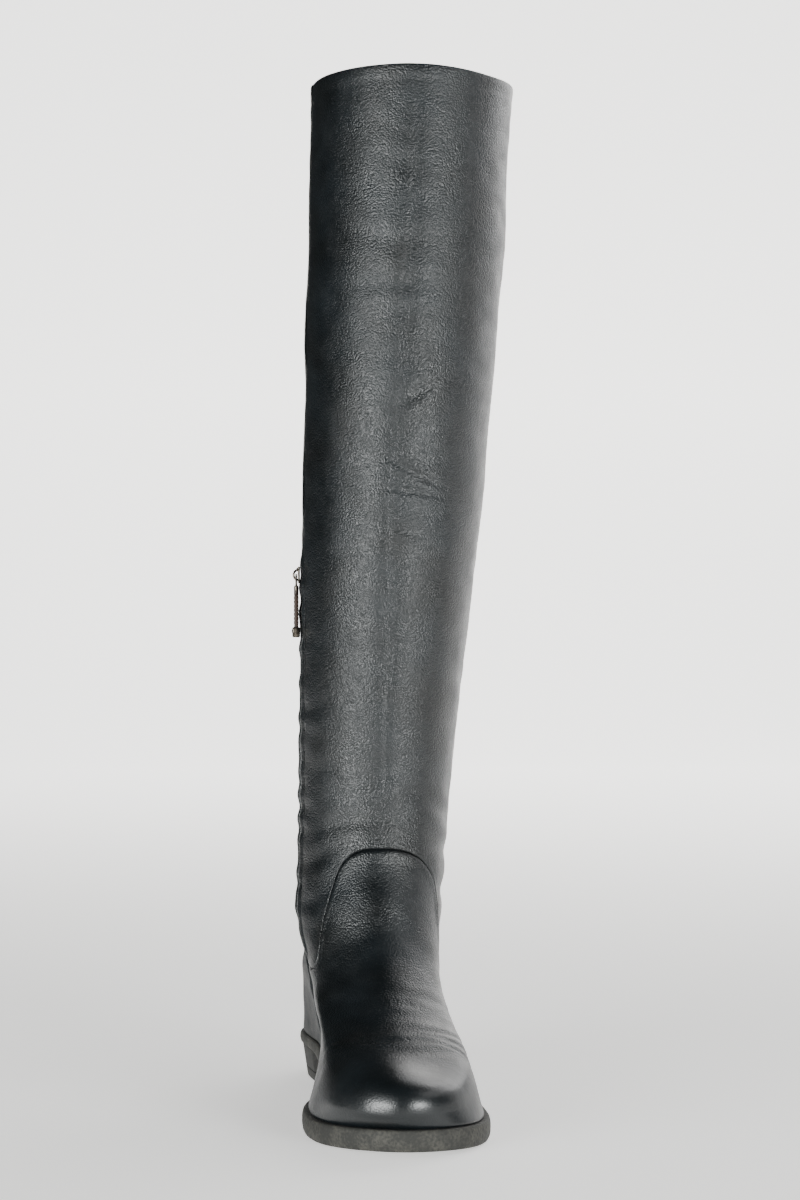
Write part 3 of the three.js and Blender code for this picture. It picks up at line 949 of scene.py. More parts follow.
@dataclass
class ZipLine:
    """The zip's line down the inner side, and the slit it closes."""

    turn: float = -1.45
    low: float = 80.0
    high: float = 312.0
    half_slit: float = 3.2
    pucker_mm: float = 17.0

    def opening(self, height: np.ndarray) -> np.ndarray:
        """Half the slit's width at each height."""
        return self.half_slit * (1 - ease(self.high - 5, self.high + 5, height))

    def presence(self, height: np.ndarray) -> np.ndarray:
        """1 along the zip, fading out just above and below it."""
        return ease(self.low - 14, self.low + 6, height) * (1 - ease(self.high, self.high + 14, height))


ZIP = ZipLine()


@dataclass
class Shaft:
    """The leg of the boot, from the turned seam to the rolled collar."""

    edge_mm: tuple = (0, 0.35, 0.8, 1.4, 2.1, 2.9, 3.8, 4.8, 5.9, 7.1, 8.4, 10, 12)
    seam_mm: tuple = (0, 0.25, 0.6, 1.0, 1.6, 2.4, 3.4, 4.8, 6.4)
    columns: int = 250
    rows: int = 222
    collar: float = 597.0
    rim_radius: float = 1.0
    facing_depth: float = 30.0
    fold_edge: float = 9.5
    creases: tuple = (
        LegCrease(13, 362, 46, -27, 0.95, 1.8),
        LegCrease(12, 352, 54, -9, 1.0, 1.7),
        LegCrease(8, 409, 34, 38, 1.0, 3.4, 0, 0.3),
        LegCrease(14, 330, 44, -6, 0.4, 2.6),
        LegCrease(-12, 372, 30, 8, 0.25, 4.0, 0, 0.4),
        LegCrease(-4, 474, 90, 2, 0.3, 4.5, 3.0, 0.8),
        LegCrease(10, 500, 110, -3, 0.28, 7.0, 4.0, 0.8),
        LegCrease(-28, 318, 46, 14, 0.25, 6.0),
        LegCrease(34, 305, 54, -20, 0.3, 6.5),
        LegCrease(-8, 262, 50, 6, 0.2, 6.0),
        LegCrease(20, 232, 56, -12, 0.25, 6.0),
        LegCrease(52, 168, 52, -16, 0.8, 4.0),
        LegCrease(68, 143, 56, -12, 1.0, 4.4),
        LegCrease(82, 118, 54, -6, 1.0, 4.6),
        LegCrease(96, 98, 46, 4, 0.7, 4.0),
        LegCrease(30, 178, 34, -14, 0.45, 3.6),
        LegCrease(-4, 163, 56, 2, 0.35, 3.6, 2.0),
        LegCrease(4, 196, 64, -4, 0.22, 7.0, 2.5),
        LegCrease(-30, 160, 40, 14, 0.6, 4.0),
        LegCrease(-52, 138, 38, 22, 0.8, 4.2),
        LegCrease(-62, 112, 34, 18, 0.8, 4.0),
        LegCrease(-48, 190, 40, 16, 0.5, 5.0),
        LegCrease(-60, 226, 36, 12, 0.5, 5.0),
        LegCrease(150, 128, 80, -6, 1.1, 6.0, 3.0),
        LegCrease(175, 152, 90, 3, 1.0, 7.0, 3.0),
        LegCrease(-150, 140, 70, 8, 0.9, 6.0, 2.0),
        LegCrease(168, 186, 84, -4, 0.7, 8.0, 3.0),
        LegCrease(-120, 172, 60, -10, 0.7, 6.0),
        LegCrease(120, 212, 70, 9, 0.6, 8.0),
        LegCrease(150, 330, 90, -8, 0.7, 12.0, 4.0),
        LegCrease(-140, 410, 90, 10, 0.7, 12.0, 4.0),
        LegCrease(130, 480, 90, 6, 0.6, 12.0, 3.0),
    )
    front_fold_heights: tuple = (150, 180, 212, 253, 320, 361, 391, 470, 590)
    front_fold_turns: tuple = (7, 6, 3, 2, -4.5, -6, -3, -1.5, 0)
    shin_radius: float = 55.0
    back_radius: float = 45.0
    turned_depth: float = 1.3
    turned_radius: float = 1.6
    slit_depth: float = 1.5
    slit_radius: float = 1.4

    def _shin_fold(self, turn: np.ndarray, height: np.ndarray) -> np.ndarray:
        """The long fold down the shin: a broad ridge with a narrow dip along its top."""
        line = np.radians(curve_through(self.front_fold_heights, self.front_fold_turns, height))
        across = wrap(turn - line) * self.shin_radius
        waver = 0.9 * np.sin(height / 23) + 0.6 * np.sin(height / 9.1)
        depth = 0.62 + 0.25 * np.sin(height / 37 + 1)
        dip = depth * 0.6 * (bump_at(across, 4.2) + bump_at(across + waver, 1.7))
        return ease(146, 190, height) * (0.6 * bump_at(across, 18) - dip)

    def _back_seam(self, turn: np.ndarray) -> np.ndarray:
        """The seam down the back: a narrow valley between two raised edges."""
        across = wrap(turn - math.pi) * self.back_radius
        return 0.35 * bump_at(np.abs(across) - 2.4, 1.5) - 0.6 * bump_at(across, 0.7)

    def _zip_edges(self, height: np.ndarray, from_zip: np.ndarray) -> np.ndarray:
        """The welts beside the zip, puckered by the tape, and the bulge over the ankle bone."""
        pucker = np.sin(height * FULL_TURN / ZIP.pucker_mm + 1.7 * np.sin(height / 27))
        pucker += 0.5 * np.sin(height * FULL_TURN / 11.3 + 1.1 * np.sin(height / 19))
        welt = 0.75 * bump_at(from_zip - 3.0, 2.4) - 0.5 * bump_at(from_zip - 6.8, 1.1)
        ripple = (0.75 * bump_at(from_zip, 9) + 0.25 * bump_at(from_zip, 22)) * pucker
        ankle = 1.8 * bump_at(height - 104, 14) * bump_at(from_zip, 20)
        return ZIP.presence(height) * (welt + 0.42 * ripple) + ankle

    def _binding(self, height: np.ndarray) -> np.ndarray:
        """The collar's folded edge: a shallow groove below a slight swelling."""
        groove = 0.3 * bump_at(self.collar - self.fold_edge - height, 0.7)
        return 0.25 * bump_at(self.collar - 4 - height, 3.5) - groove

    def relief(self, turn: np.ndarray, height: np.ndarray, from_zip: np.ndarray) -> np.ndarray:
        """Heights that the leather stands above the plain shell, in millimetres.

        Args:
            turn: turns of the points.
            height: heights of the points.
            from_zip: distance to the slit's edge, round the leg.

        Returns:
            Heights in millimetres.
        """
        total = sum(crease.relief(turn, height) for crease in self.creases)
        round_leg = turn * LEG_RADIUS
        total += 0.55 * waviness(3, 9, 55, 120, round_leg * 0.7, height)
        total += 0.16 * waviness(5, 12, 14, 34, round_leg, height * 1.3)
        total += self._shin_fold(turn, height) + self._back_seam(turn)
        return total + self._zip_edges(height, from_zip) + self._binding(height)

    def _heights(self, low_turns: np.ndarray, top_turns: np.ndarray) -> np.ndarray:
        """Heights of the grid: close together at the seam, even from there to the rim."""
        climb = np.array(self.seam_mm)[:, None]
        base = SEAM.height(low_turns)[None]
        low = base + climb[-1]
        rise = np.linspace(0, 1, self.rows)[1:, None]
        return np.concatenate([base + climb, low + rise * (self._rim_height(top_turns)[None] - low)])

    def skin(self) -> bpy.types.Object:
        """The outer leather, rolled over the rim and in at the slit and the seam."""
        columns = 2 * len(self.edge_mm) + self.columns - 2
        even = ZIP.turn + np.linspace(0, FULL_TURN, columns)
        heights = self._heights(even, even)
        turns = np.broadcast_to(np.linspace(-math.pi, math.pi, columns), heights.shape)
        for _ in range(2):
            turns = self._turns(heights, SHELL.level_at(turns, heights), columns)
            heights = self._heights(turns[0], turns[-1])
        levels = SHELL.level_at(turns, heights)
        reach = SHELL.reach(np.full(len(heights), ZIP.turn), levels[:, 0])[:, None]
        from_zip = np.abs(wrap(turns - ZIP.turn)) * reach - ZIP.opening(heights)
        above = heights - SEAM.height(turns[0])[None]
        offset = self.relief(turns, heights, np.maximum(0, from_zip))
        offset = offset * ease(0, 10, above) + 0.25 * ease(0, 2.2, above)
        offset -= self.turned_depth * edge_drop(above, self.turned_radius)
        closed = ease(ZIP.high - 3, ZIP.high + 6, heights)
        offset -= self.slit_depth * edge_drop(from_zip, self.slit_radius) * (1 - closed)
        points = SHELL.place(turns, levels, offset)
        points = np.concatenate([points, self._rim(points[-1], turns[-1])])
        return lay_sheet("shaft", points, np.array([-1.0, 0, 0]), seam=True)

    def _rim_height(self, turn: np.ndarray) -> np.ndarray:
        """Height at which the leather starts to roll over the rim."""
        outer_front = wrap(turn - math.radians(48))
        return self.collar - self.rim_radius - 2.2 * bump_at(outer_front, 0.55)

    def _turns(self, heights: np.ndarray, levels: np.ndarray, columns: int) -> np.ndarray:
        """Turns of the grid, close together beside the slit and even elsewhere."""
        reach = SHELL.reach(np.full(len(heights), ZIP.turn), levels[:, 0])[:, None]
        near = (ZIP.opening(heights[:, :1]) + np.array(self.edge_mm)[None]) / reach
        share = np.linspace(0, 1, columns - 2 * len(self.edge_mm) + 2)[None, 1:-1]
        start, end = near[:, -1:], FULL_TURN - near[:, -1:]
        between = start + share * (end - start)
        return ZIP.turn + np.concatenate([near, between, (FULL_TURN - near)[:, ::-1]], axis=1)

    def _rim(self, last: np.ndarray, turns: np.ndarray) -> np.ndarray:
        """Rows that roll over the rim and run down inside as the facing."""
        inward = -SHELL.normals(turns, np.full_like(turns, SHELL.top))
        inward[:, 2] = 0
        rows = []
        for angle in np.linspace(0, math.pi, 8)[1:]:
            lift = np.array([0, 0, math.sin(angle) * self.rim_radius])
            rows.append(last + inward * (1 - math.cos(angle)) * self.rim_radius + lift)
        for depth in (3, 9, 18, self.facing_depth):
            levels = SHELL.level_at(turns, self._rim_height(turns) - depth)
            rows.append(SHELL.place(turns, levels, -2 * self.rim_radius + 0.1 * math.sin(depth)))
        return np.array(rows)

    def build(self) -> list[bpy.types.Object]:
        """The shaft's skin."""
        skin = Finishes.SHAFT.value.dress(self.skin())
        return [skin]


@dataclass
class Vamp:
    """The foot of the boot, from the feather line to the turned seam."""

    columns: int = 300
    rows: int = 150
    seam_mm: tuple = (6.4, 4.8, 3.4, 2.4, 1.6, 1.0, 0.6, 0.25, 0)
    creases: tuple = (
        FootCrease(12, -160, 70, -0.05, 9, 0.35, 2.6),
        FootCrease(4, -166, 40, -0.05, 4, 0.4, 1.6),
        FootCrease(20, -172, 60, 0.02, 9, 0.3, 3.4),
        FootCrease(12, -150, 66, -0.02, 8, 0.3, 4.0),
        FootCrease(50, -168, 34, -0.1, 1, 0.55, 1.3),
        FootCrease(52, -159, 34, 0.05, 1, 0.5, 1.4),
        FootCrease(46, -150, 40, 0.2, 1, 0.4, 2.2),
        FootCrease(-14, -158, 30, -0.4, 1, 0.35, 2.4),
        FootCrease(22, -132, 24, 0.2, 2, 0.5, 2.6),
        FootCrease(10, -124, 30, -0.3, 2, 0.35, 3.4),
        FootCrease(34, -120, 40, 0.6, 2, 0.35, 3.6),
        FootCrease(-12, -122, 36, -0.6, 2, 0.35, 3.6),
    )
    keel_places: tuple = (-200, -185, -150, -115, -95)
    keel_line: tuple = (22, 20, 14, 12, 12)
    toe_fullness: float = 2.2
    toe_swing: float = 2.8
    swing_limit: float = 0.9
    turned_depth: float = 1.3
    turned_radius: float = 1.8
    tuck_depth: float = 1.2
    tuck_radius: float = 2.2

    def relief(self, turn: np.ndarray, level: np.ndarray, points: np.ndarray) -> np.ndarray:
        """Heights that the leather stands above the plain shell, in millimetres."""
        x, y, z = np.moveaxis(points, -1, 0)
        on_top = ease(1.2, 2.6, level) * ease(-84, -104, y)
        total = sum(crease.relief(x, y) for crease in self.creases) * on_top
        keel = x - curve_through(self.keel_places, self.keel_line, y)
        total += 1.2 * bump_at(keel, 13) * ease(-196, -160, y) * ease(-92, -118, y) * ease(1, 3, level)
        instep = wrap(turn) * 42 + 4
        total += 1.7 * bump_at(z - 116, 13) * bump_at(instep, 34)
        total += 0.5 * waviness(11, 8, 40, 90, x, y, z) * ease(0.4, 2, level) * ease(-205, -170, y)
        total += 0.14 * waviness(12, 10, 12, 26, x, y, z) * ease(1, 3, level) * ease(-200, -150, y)
        swing = np.clip(wrap(turn), -self.swing_limit, self.swing_limit)
        to_side = np.sin(swing / self.swing_limit * math.pi)
        total -= self.toe_swing * to_side * ease(0, 1, level) * ease(-165, -205, y)
        total += self.toe_fullness * bump_at(z - 33, 9) * bump_at(swing, 0.7) * ease(-185, -215, y)
        return total

    def skin(self) -> bpy.types.Object:
        """The outer leather, tucked in over the sole and rolled in at the seam."""
        turns = math.pi + np.linspace(0, FULL_TURN, self.columns)
        top = SEAM.height(turns)
        near = np.array(self.seam_mm)
        near_levels = SHELL.level_at(turns[None] + 0 * near[:, None], top[None] - near[:, None])
        share = np.linspace(0, 1, self.rows)[:-1, None]
        levels = np.concatenate([share * near_levels[:1], near_levels])
        grid = np.broadcast_to(turns, levels.shape)
        plain = SHELL.points(grid, levels)
        below = top[None] - plain[..., 2]
        offset = self.relief(grid, levels, plain) * ease(0, 8, below)
        offset += 0.35 * ease(0, 2.5, below) * ease(9, 2.5, below)
        offset -= self.turned_depth * edge_drop(below, self.turned_radius)
        rise = plain[..., 2] - SHELL.sole_top(plain[..., 1])
        offset -= self.tuck_depth * edge_drop(rise, self.tuck_radius)
        points = SHELL.place(grid, levels, offset)
        return lay_sheet("vamp", points, np.array([0, 1.0, 0]), seam=True)

    def build(self) -> list[bpy.types.Object]:
        """The vamp's skin."""
        skin = Finishes.VAMP.value.dress(self.skin())
        return [skin]


@dataclass
class Lining:
    """The lining inside the whole boot, from the insole to the collar's facing."""

    columns: int = 120
    rows: int = 110
    depth: float = 1.95
    overlap: float = 25.0

    def build(self) -> list[bpy.types.Object]:
        """A smooth sheet just inside the leather."""
        turns = np.linspace(0, FULL_TURN, self.columns) + math.pi
        top = SHELL.level_at(turns, np.full_like(turns, 597 - self.overlap))
        levels = np.linspace(0, 1, self.rows)[:, None] * top[None]
        grid = np.broadcast_to(turns, levels.shape)
        depth = self.depth + 2.2 * ease(-150, -195, SHELL.points(grid, levels)[..., 1])
        sheet = lay_sheet("lining", SHELL.place(grid, levels, -depth), np.array([0, -1.0, 0]), seam=True)
        Finishes.LINING.value.dress(sheet)
        return [sheet]


@dataclass
class Quarter:
    """The stitched leather over the stiff heel counter, standing proud of the vamp."""

    columns: int = 150
    rows: int = 60
    thickness: float = 1.45
    base: float = 0.15
    stitch_inset: float = 2.6
    edge_radius: float = 1.3
    tuck_depth: float = 0.9
    tuck_radius: float = 2.0
    front_heights: tuple = (0, 20, 40, 72)
    front_places: tuple = (-76, -74.5, -70, -62)
    top_places: tuple = (-62, -57, -50, -20, 15, 45)
    top_heights: tuple = (71, 77.5, 79.3, 80, 85.5, 92)

    def grid(self, across: np.ndarray, up: np.ndarray) -> tuple[np.ndarray, np.ndarray]:
        """Turns and levels of the quarter.

        Args:
            across: from -1 at the inner front edge through 0 at the heel to 1.
            up: from 0 at the sole to 1 at the upper edge.

        Returns:
            Turns and levels, as arrays of the same shape.
        """
        across, up = np.broadcast_arrays(across, up)
        level = np.full(across.shape, 3.0)
        height = 18 + up * 54
        turn = np.full(across.shape, math.pi)
        for _ in range(4):
            edge_y = curve_through(self.front_heights, self.front_places, height)
            front = np.arccos(np.clip(2 * self._along(edge_y, level) - 1, -1, 1))
            turn = math.pi + across * (math.pi - front)
            y = SHELL.points(turn, level)[..., 1]
            low = SHELL.sole_top(y) + SHELL.gap
            high = curve_through(self.top_places, self.top_heights, y)
            level = SHELL.level_at(turn, low + up * (high - low))
            height = low + up * (72 - low)
        return turn, level

    def _along(self, y: np.ndarray, level: np.ndarray) -> np.ndarray:
        """Share of the way from the heel to the toe of a place y, at each level."""
        row = SHELL.row(level)
        return (y - row["back_y"]) / (row["front_y"] - row["back_y"])

    def build(self) -> list[bpy.types.Object]:
        """The quarter's leather, with a groove for its stitches."""
        spread = np.linspace(-1, 1, self.columns)
        spread = np.sign(spread) * (1 - (1 - np.abs(spread)) ** 1.15)
        climb = 1 - (1 - np.linspace(0, 1, self.rows)) ** 1.25
        turn, level = self.grid(spread[None], climb[:, None])
        plain = SHELL.points(turn, level)
        from_front = np.minimum(
            np.linalg.norm(plain - plain[:, :1], axis=-1), np.linalg.norm(plain - plain[:, -1:], axis=-1)
        )
        from_top = np.linalg.norm(plain - plain[-1:], axis=-1)
        near = np.minimum(from_front, from_top)
        offset = self.base + self.thickness * (1 - edge_drop(near, self.edge_radius))
        offset -= 0.22 * bump_at(near - self.stitch_inset, 0.8)
        offset += 0.25 * waviness(21, 7, 25, 60, *np.moveaxis(plain, -1, 0)) * ease(3, 12, near)
        rise = plain[..., 2] - SHELL.sole_top(plain[..., 1])
        offset -= self.tuck_depth * edge_drop(rise, self.tuck_radius)
        sheet = lay_sheet("quarter", SHELL.place(turn, level, offset), np.array([-1.0, 0, 0]), seam=False)
        Finishes.QUARTER.value.dress(sheet)
        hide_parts("heel_counter")
        return [sheet]


# ------------------------------------------------------------------ sole and heel


@dataclass
class Sole:
    """The rubber outsole with its rounded, pebbled edge, the heel and the insole."""

    columns: int = 260
    edge: float = 3.2
    tuck: float = 0.6
    heel_columns: int = 90
    heel_breast: float = 0.68 * math.pi
    lift: float = 6.0

    def _outline(self, turns: np.ndarray, distance: float) -> np.ndarray:
        """The feather line moved outwards."""
        return SHELL.place(turns, np.zeros_like(turns), distance)

    def outsole(self) -> bpy.types.Object:
        """A closed sheet: underside, rounded edge and top."""
        turns = np.linspace(0, FULL_TURN, self.columns) + math.pi
        spine = SHELL.spine(turns)
        rows = []
        for share in (0, 0.3, 0.6, 0.85, 0.96):
            row = spine + (self._outline(turns, self.tuck) - spine) * share
            row[:, 2] = SHELL.sole_underside(row[:, 1])
            rows.append(row)
        for angle in np.linspace(-90, 90, 17):
            bulge = max(0.0, math.cos(math.radians(angle))) ** 0.62
            base = self.tuck if angle < 0 else 1.2
            row = self._outline(turns, base + (self.edge - base) * bulge)
            low, high = SHELL.sole_underside(row[:, 1]), SHELL.sole_top(row[:, 1])
            row[:, 2] = low + (high - low) * (0.5 + 0.5 * math.sin(math.radians(angle)))
            rows.append(row)
        for share in (0.9, 0.5, 0):
            row = spine + (self._outline(turns, 1.2) - spine) * share
            row[:, 2] = SHELL.sole_top(row[:, 1])
            rows.append(row)
        points = np.array(rows)
        lumps = 0.12 * waviness(31, 30, 2.4, 6, *np.moveaxis(points, -1, 0))
        on_edge = np.zeros(len(rows))
        on_edge[7:20] = 1
        outward = SHELL.normals(turns, 0 * turns)
        points += outward[None] * (lumps * on_edge[:, None])[..., None]
        return lay_sheet("outsole_rubber", points, np.array([0, 0, -1.0]), seam=True)

    def heel_slice(self, name: str, low: float, high: float) -> bpy.types.Object:
        """A slice of the heel, from a disc of its outline, extruded and bevelled.

        Args:
            name: the piece's name.
            low, high: the heights between which it lies.

        Returns:
            The slice.
        """
        disc = bpy.ops.mesh.primitive_circle_add
        obj = primitive(disc, name, vertices=self.heel_columns, radius=1, fill_type="NGON")
        turns = np.linspace(self.heel_breast, FULL_TURN - self.heel_breast, self.heel_columns)
        spread = [-1.4 + 3.0 * z / SHELL.heel_height for z in (low, high)]
        foot, head = (self._outline(turns, s) for s in spread)
        foot[:, 2], head[:, 2] = low, high
        for vertex, point in zip(obj.data.vertices, foot):
            vertex.co = Vector(point) * MM
        only(obj)
        bpy.ops.object.mode_set(mode="EDIT")
        bpy.ops.mesh.select_all(action="SELECT")
        bpy.ops.mesh.extrude_region_move(TRANSFORM_OT_translate={"value": (0, 0, (high - low) * MM)})
        bpy.ops.object.mode_set(mode="OBJECT")
        raised = [v for v in obj.data.vertices if v.co.z > (low + high) / 2 * MM]
        for vertex in raised:
            nearest = int(np.argmin(np.linalg.norm(foot[:, :2] - np.array(vertex.co[:2]) / MM, axis=1)))
            vertex.co = Vector(head[nearest]) * MM
        edit(obj, (bpy.ops.mesh.normals_make_consistent, {"inside": False}))
        bevel = obj.modifiers.new("soft_edges", "BEVEL")
        bevel.width, bevel.segments, bevel.angle_limit = 0.0006, 3, math.radians(50)
        return smooth(apply_all(obj), 40)

    def insole(self) -> bpy.types.Object:
        """The sock that covers the insole, a little dished."""
        turns = np.linspace(0, FULL_TURN, 140) + math.pi
        spine = SHELL.spine(turns)
        outline = self._outline(turns, -3.4)
        rows = []
        for share, lift in ((0.97, 0.3), (1, 0.9), (1, 2.2), (0.98, 2.7), (0.85, 2.6), (0.5, 2.5), (0, 2.5)):
            row = spine + (outline - spine) * share
            row[:, 2] = SHELL.sole_top(row[:, 1]) + lift
            rows.append(row)
        return lay_sheet("insole_sock", np.array(rows), np.array([0, 1.0, -1.0]), seam=True)

    def build(self) -> list[bpy.types.Object]:
        """Outsole, heel, top piece and insole."""
        outsole = Finishes.SOLE.value.dress(self.outsole())
        stack = self.heel_slice("heel_stack", self.lift + 0.3, SHELL.heel_height - 0.3)
        heel = Finishes.HEEL.value.dress(stack)
        lift = Finishes.HEEL.value.dress(self.heel_slice("heel_top_piece", 0, self.lift))
        sock = Finishes.INSOLE.value.dress(self.insole())
        for piece, slot, node in (
            (outsole, "sole_rubber", "outsole"),
            (heel, "heel_rubber", "heel_block"),
            (lift, "heel_rubber", "heel_lift"),
            (sock, "insole_leather", "insole"),
        ):
            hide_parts(node)
        return [outsole, heel, lift, sock]


# ------------------------------------------------------------------ zip


@dataclass
class Zip:
    """The closed zip: tape, coil teeth, slider and the hanging pull."""

    tooth_pitch: float = 1.5
    tape_half: float = 5.5
    slider_height: float = 305.0
    pivot_out: float = 2.95

    def _line(self, heights: np.ndarray) -> tuple[np.ndarray, np.ndarray, np.ndarray]:
        """Levels, points and outward directions down the zip's line."""
        turn = np.full_like(heights, ZIP.turn)
        level = SHELL.level_at(turn, heights)
        return level, SHELL.points(turn, level), SHELL.normals(turn, level)

    def tape(self) -> bpy.types.Object:
        """The tape behind the teeth."""
        heights = np.linspace(ZIP.low - 2, ZIP.high + 6, 90)
        level, _, _ = self._line(heights)
        reach = SHELL.reach(np.full_like(heights, ZIP.turn), level)
        across = np.linspace(-self.tape_half, self.tape_half, 9)
        turns = ZIP.turn + across[None] / reach[:, None]
        points = SHELL.place(turns, np.repeat(level[:, None], 9, axis=1), -1.75)
        return lay_sheet("zip_tape", points, np.array([-1.0, 0, 0]), seam=False)

    def teeth(self) -> bpy.types.Object:
        """Two rows of coil turns that mesh down the middle."""
        heights = np.arange(ZIP.low + 1, self.slider_height + 3, self.tooth_pitch / 2)
        _, points, normals = self._line(heights)
        tooth = rounded_block("tooth", (3.0, 0.95, 0.95), (0, 0, 0), 0.3, 2)
        frames = []
        for i, (point, normal) in enumerate(zip(points, normals)):
            side = -1 if i % 2 else 1
            across = np.cross([0, 0, 1.0], normal) * side
            frames.append(frame_from(point - normal * 1.15 + across * 0.85, across, normal))
        return repeat("zip_teeth", tooth, frames)

    def _rest_matrix(self) -> Matrix:
        """The slider's place: x across the zip, y up it, z out of the leg."""
        joint = next(j for j in frame["joints"] if j["name"] == "zip_pull")
        pivot = Vector(joint["pos_m"])
        matrix = Matrix(((0, 0, -1), (-1, 0, 0), (0, 1, 0))).to_4x4()
        matrix.translation = pivot + Vector((self.pivot_out * MM, 0, 0))
        return matrix

    def slider(self) -> bpy.types.Object:
        """The slider's shield, its nose and the bridge that holds the pull."""
        shield = rounded_block("shield", (6.2, 10, 1.3), (0, 0, 1.35), 0.45)
        for vertex in [v for v in shield.data.vertices if v.co.y < 0]:
            vertex.co.x *= 1 - 0.3 * min(1.0, -vertex.co.y / (5 * MM)) ** 1.5
        bridge = primitive(
            bpy.ops.mesh.primitive_torus_add, "bridge",
            major_radius=2.55 * MM, minor_radius=0.62 * MM, major_segments=32, minor_segments=12,
            location=(0, 0, 1.95 * MM), rotation=(0, math.pi / 2, 0),
        )
        bridge.scale = (1.0, 1.15, 1.0)
        apply_all(bridge)
        edit(bridge, (bpy.ops.mesh.bisect, {
            "plane_co": (0, 0, 1.5 * MM), "plane_no": (0, 0, 1), "clear_inner": True, "use_fill": True,
        }))
        nose = rounded_block("nose", (2.4, 2.2, 1.0), (0, 3.2, 2.3), 0.4)
        slider = join("zip_slider_body", [shield, smooth(bridge, 40), nose])
        slider.matrix_world = self._rest_matrix()
        return apply_all(slider)

    def link(self) -> bpy.types.Object:
        """A wire loop, from a rounded rectangle of wire."""
        middle = (0, -4.5 * MM, self.pivot_out * MM)
        loop = primitive(bpy.ops.mesh.primitive_plane_add, "zip_pull_wire", size=1, location=middle)
        loop.scale = (6.8 * MM, 10.3 * MM, 1)
        apply_all(loop)
        only(loop)
        bpy.ops.object.mode_set(mode="EDIT")
        bpy.ops.mesh.select_all(action="SELECT")
        bpy.ops.mesh.inset(thickness=1.25 * MM, depth=0)
        bpy.ops.mesh.delete(type="FACE")
        bpy.ops.object.mode_set(mode="OBJECT")
        solid = loop.modifiers.new("wire", "SOLIDIFY")
        solid.thickness, solid.offset = 1.25 * MM, 0
        bevel = loop.modifiers.new("round", "BEVEL")
        bevel.width, bevel.segments, bevel.limit_method = 0.5 * MM, 3, "ANGLE"
        subdivide = loop.modifiers.new("soft", "SUBSURF")
        subdivide.levels = subdivide.render_levels = 1
        loop.matrix_world = self._rest_matrix()
        for modifier in list(loop.modifiers):
            only(loop)
            bpy.ops.object.modifier_apply(modifier=modifier.name)
        return smooth(apply_all(loop), 60)

    def tab(self) -> list[bpy.types.Object]:
        """The folded leather tab, its stitches and its metal end."""
        z = self.pivot_out
        body = rounded_block("body", (5.8, 21.5, 2.6), (0, -22.4, z), 0.7)
        neck = rounded_block("neck", (3.3, 7.0, 2.8), (0, -9.6, z), 1.1)
        leather = join("zip_pull_strap", [body, neck])
        leather.matrix_world = self._rest_matrix()
        apply_all(leather)
        stitch = rounded_block("stitch", (1.7, 0.4, 0.35), (0, 0, 0), 0.15, 2)
        rest = self._rest_matrix()
        frames = []
        for side, row, face in product((-1, 1), range(7), (-1, 1)):
            origin = rest @ Vector((side * 2.1 * MM, (-13.8 - 2.45 * row) * MM, (z + face * 1.3) * MM))
            along = rest.to_3x3() @ Vector((0, 1, 0))
            out = rest.to_3x3() @ Vector((0, 0, face))
            frames.append(frame_from(np.array(origin) / MM, along, out))
        stitches = repeat("zip_pull_stitches", stitch, frames)
        cap = rounded_block("zip_pull_ferrule", (7.8, 6.2, 4.7), (0, -34.3, z), 0.9)
        for vertex in cap.data.vertices:
            low = max(0.0, (-34 * MM - vertex.co.y) / (3.4 * MM))
            vertex.co.x *= 1 - 0.18 * low
        rivet = primitive(
            bpy.ops.mesh.primitive_uv_sphere_add, "rivet", segments=20, ring_count=10, radius=1.3 * MM,
            location=(0, -33.6 * MM, (z + 2.1) * MM), scale=(1, 1, 0.5),
        )
        cap = join("zip_pull_ferrule", [cap, smooth(apply_all(rivet))])
        cap.matrix_world = self._rest_matrix()
        apply_all(cap)
        Finishes.TAB.value.dress(leather)
        Finishes.THREAD.value.dress(stitches)
        Finishes.METAL.value.dress(cap)
        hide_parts("zip_pull_tab")
        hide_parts("zip_pull_end")
        return [leather, stitches, cap]

    def build(self) -> tuple[list[bpy.types.Object], list[bpy.types.Object]]:
        """The pieces fixed to the boot, and the pieces that swing with the pull."""
        tape = Finishes.TAPE.value.dress(self.tape())
        teeth = Finishes.TEETH.value.dress(self.teeth())
        slider = Finishes.METAL.value.dress(self.slider())
        link = Finishes.METAL.value.dress(self.link())
        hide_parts("zip_chain")
        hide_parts("zip_slider")
        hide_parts("zip_pull_link")
        return [tape, teeth, slider], [link, *self.tab()]


# ------------------------------------------------------------------ stitches


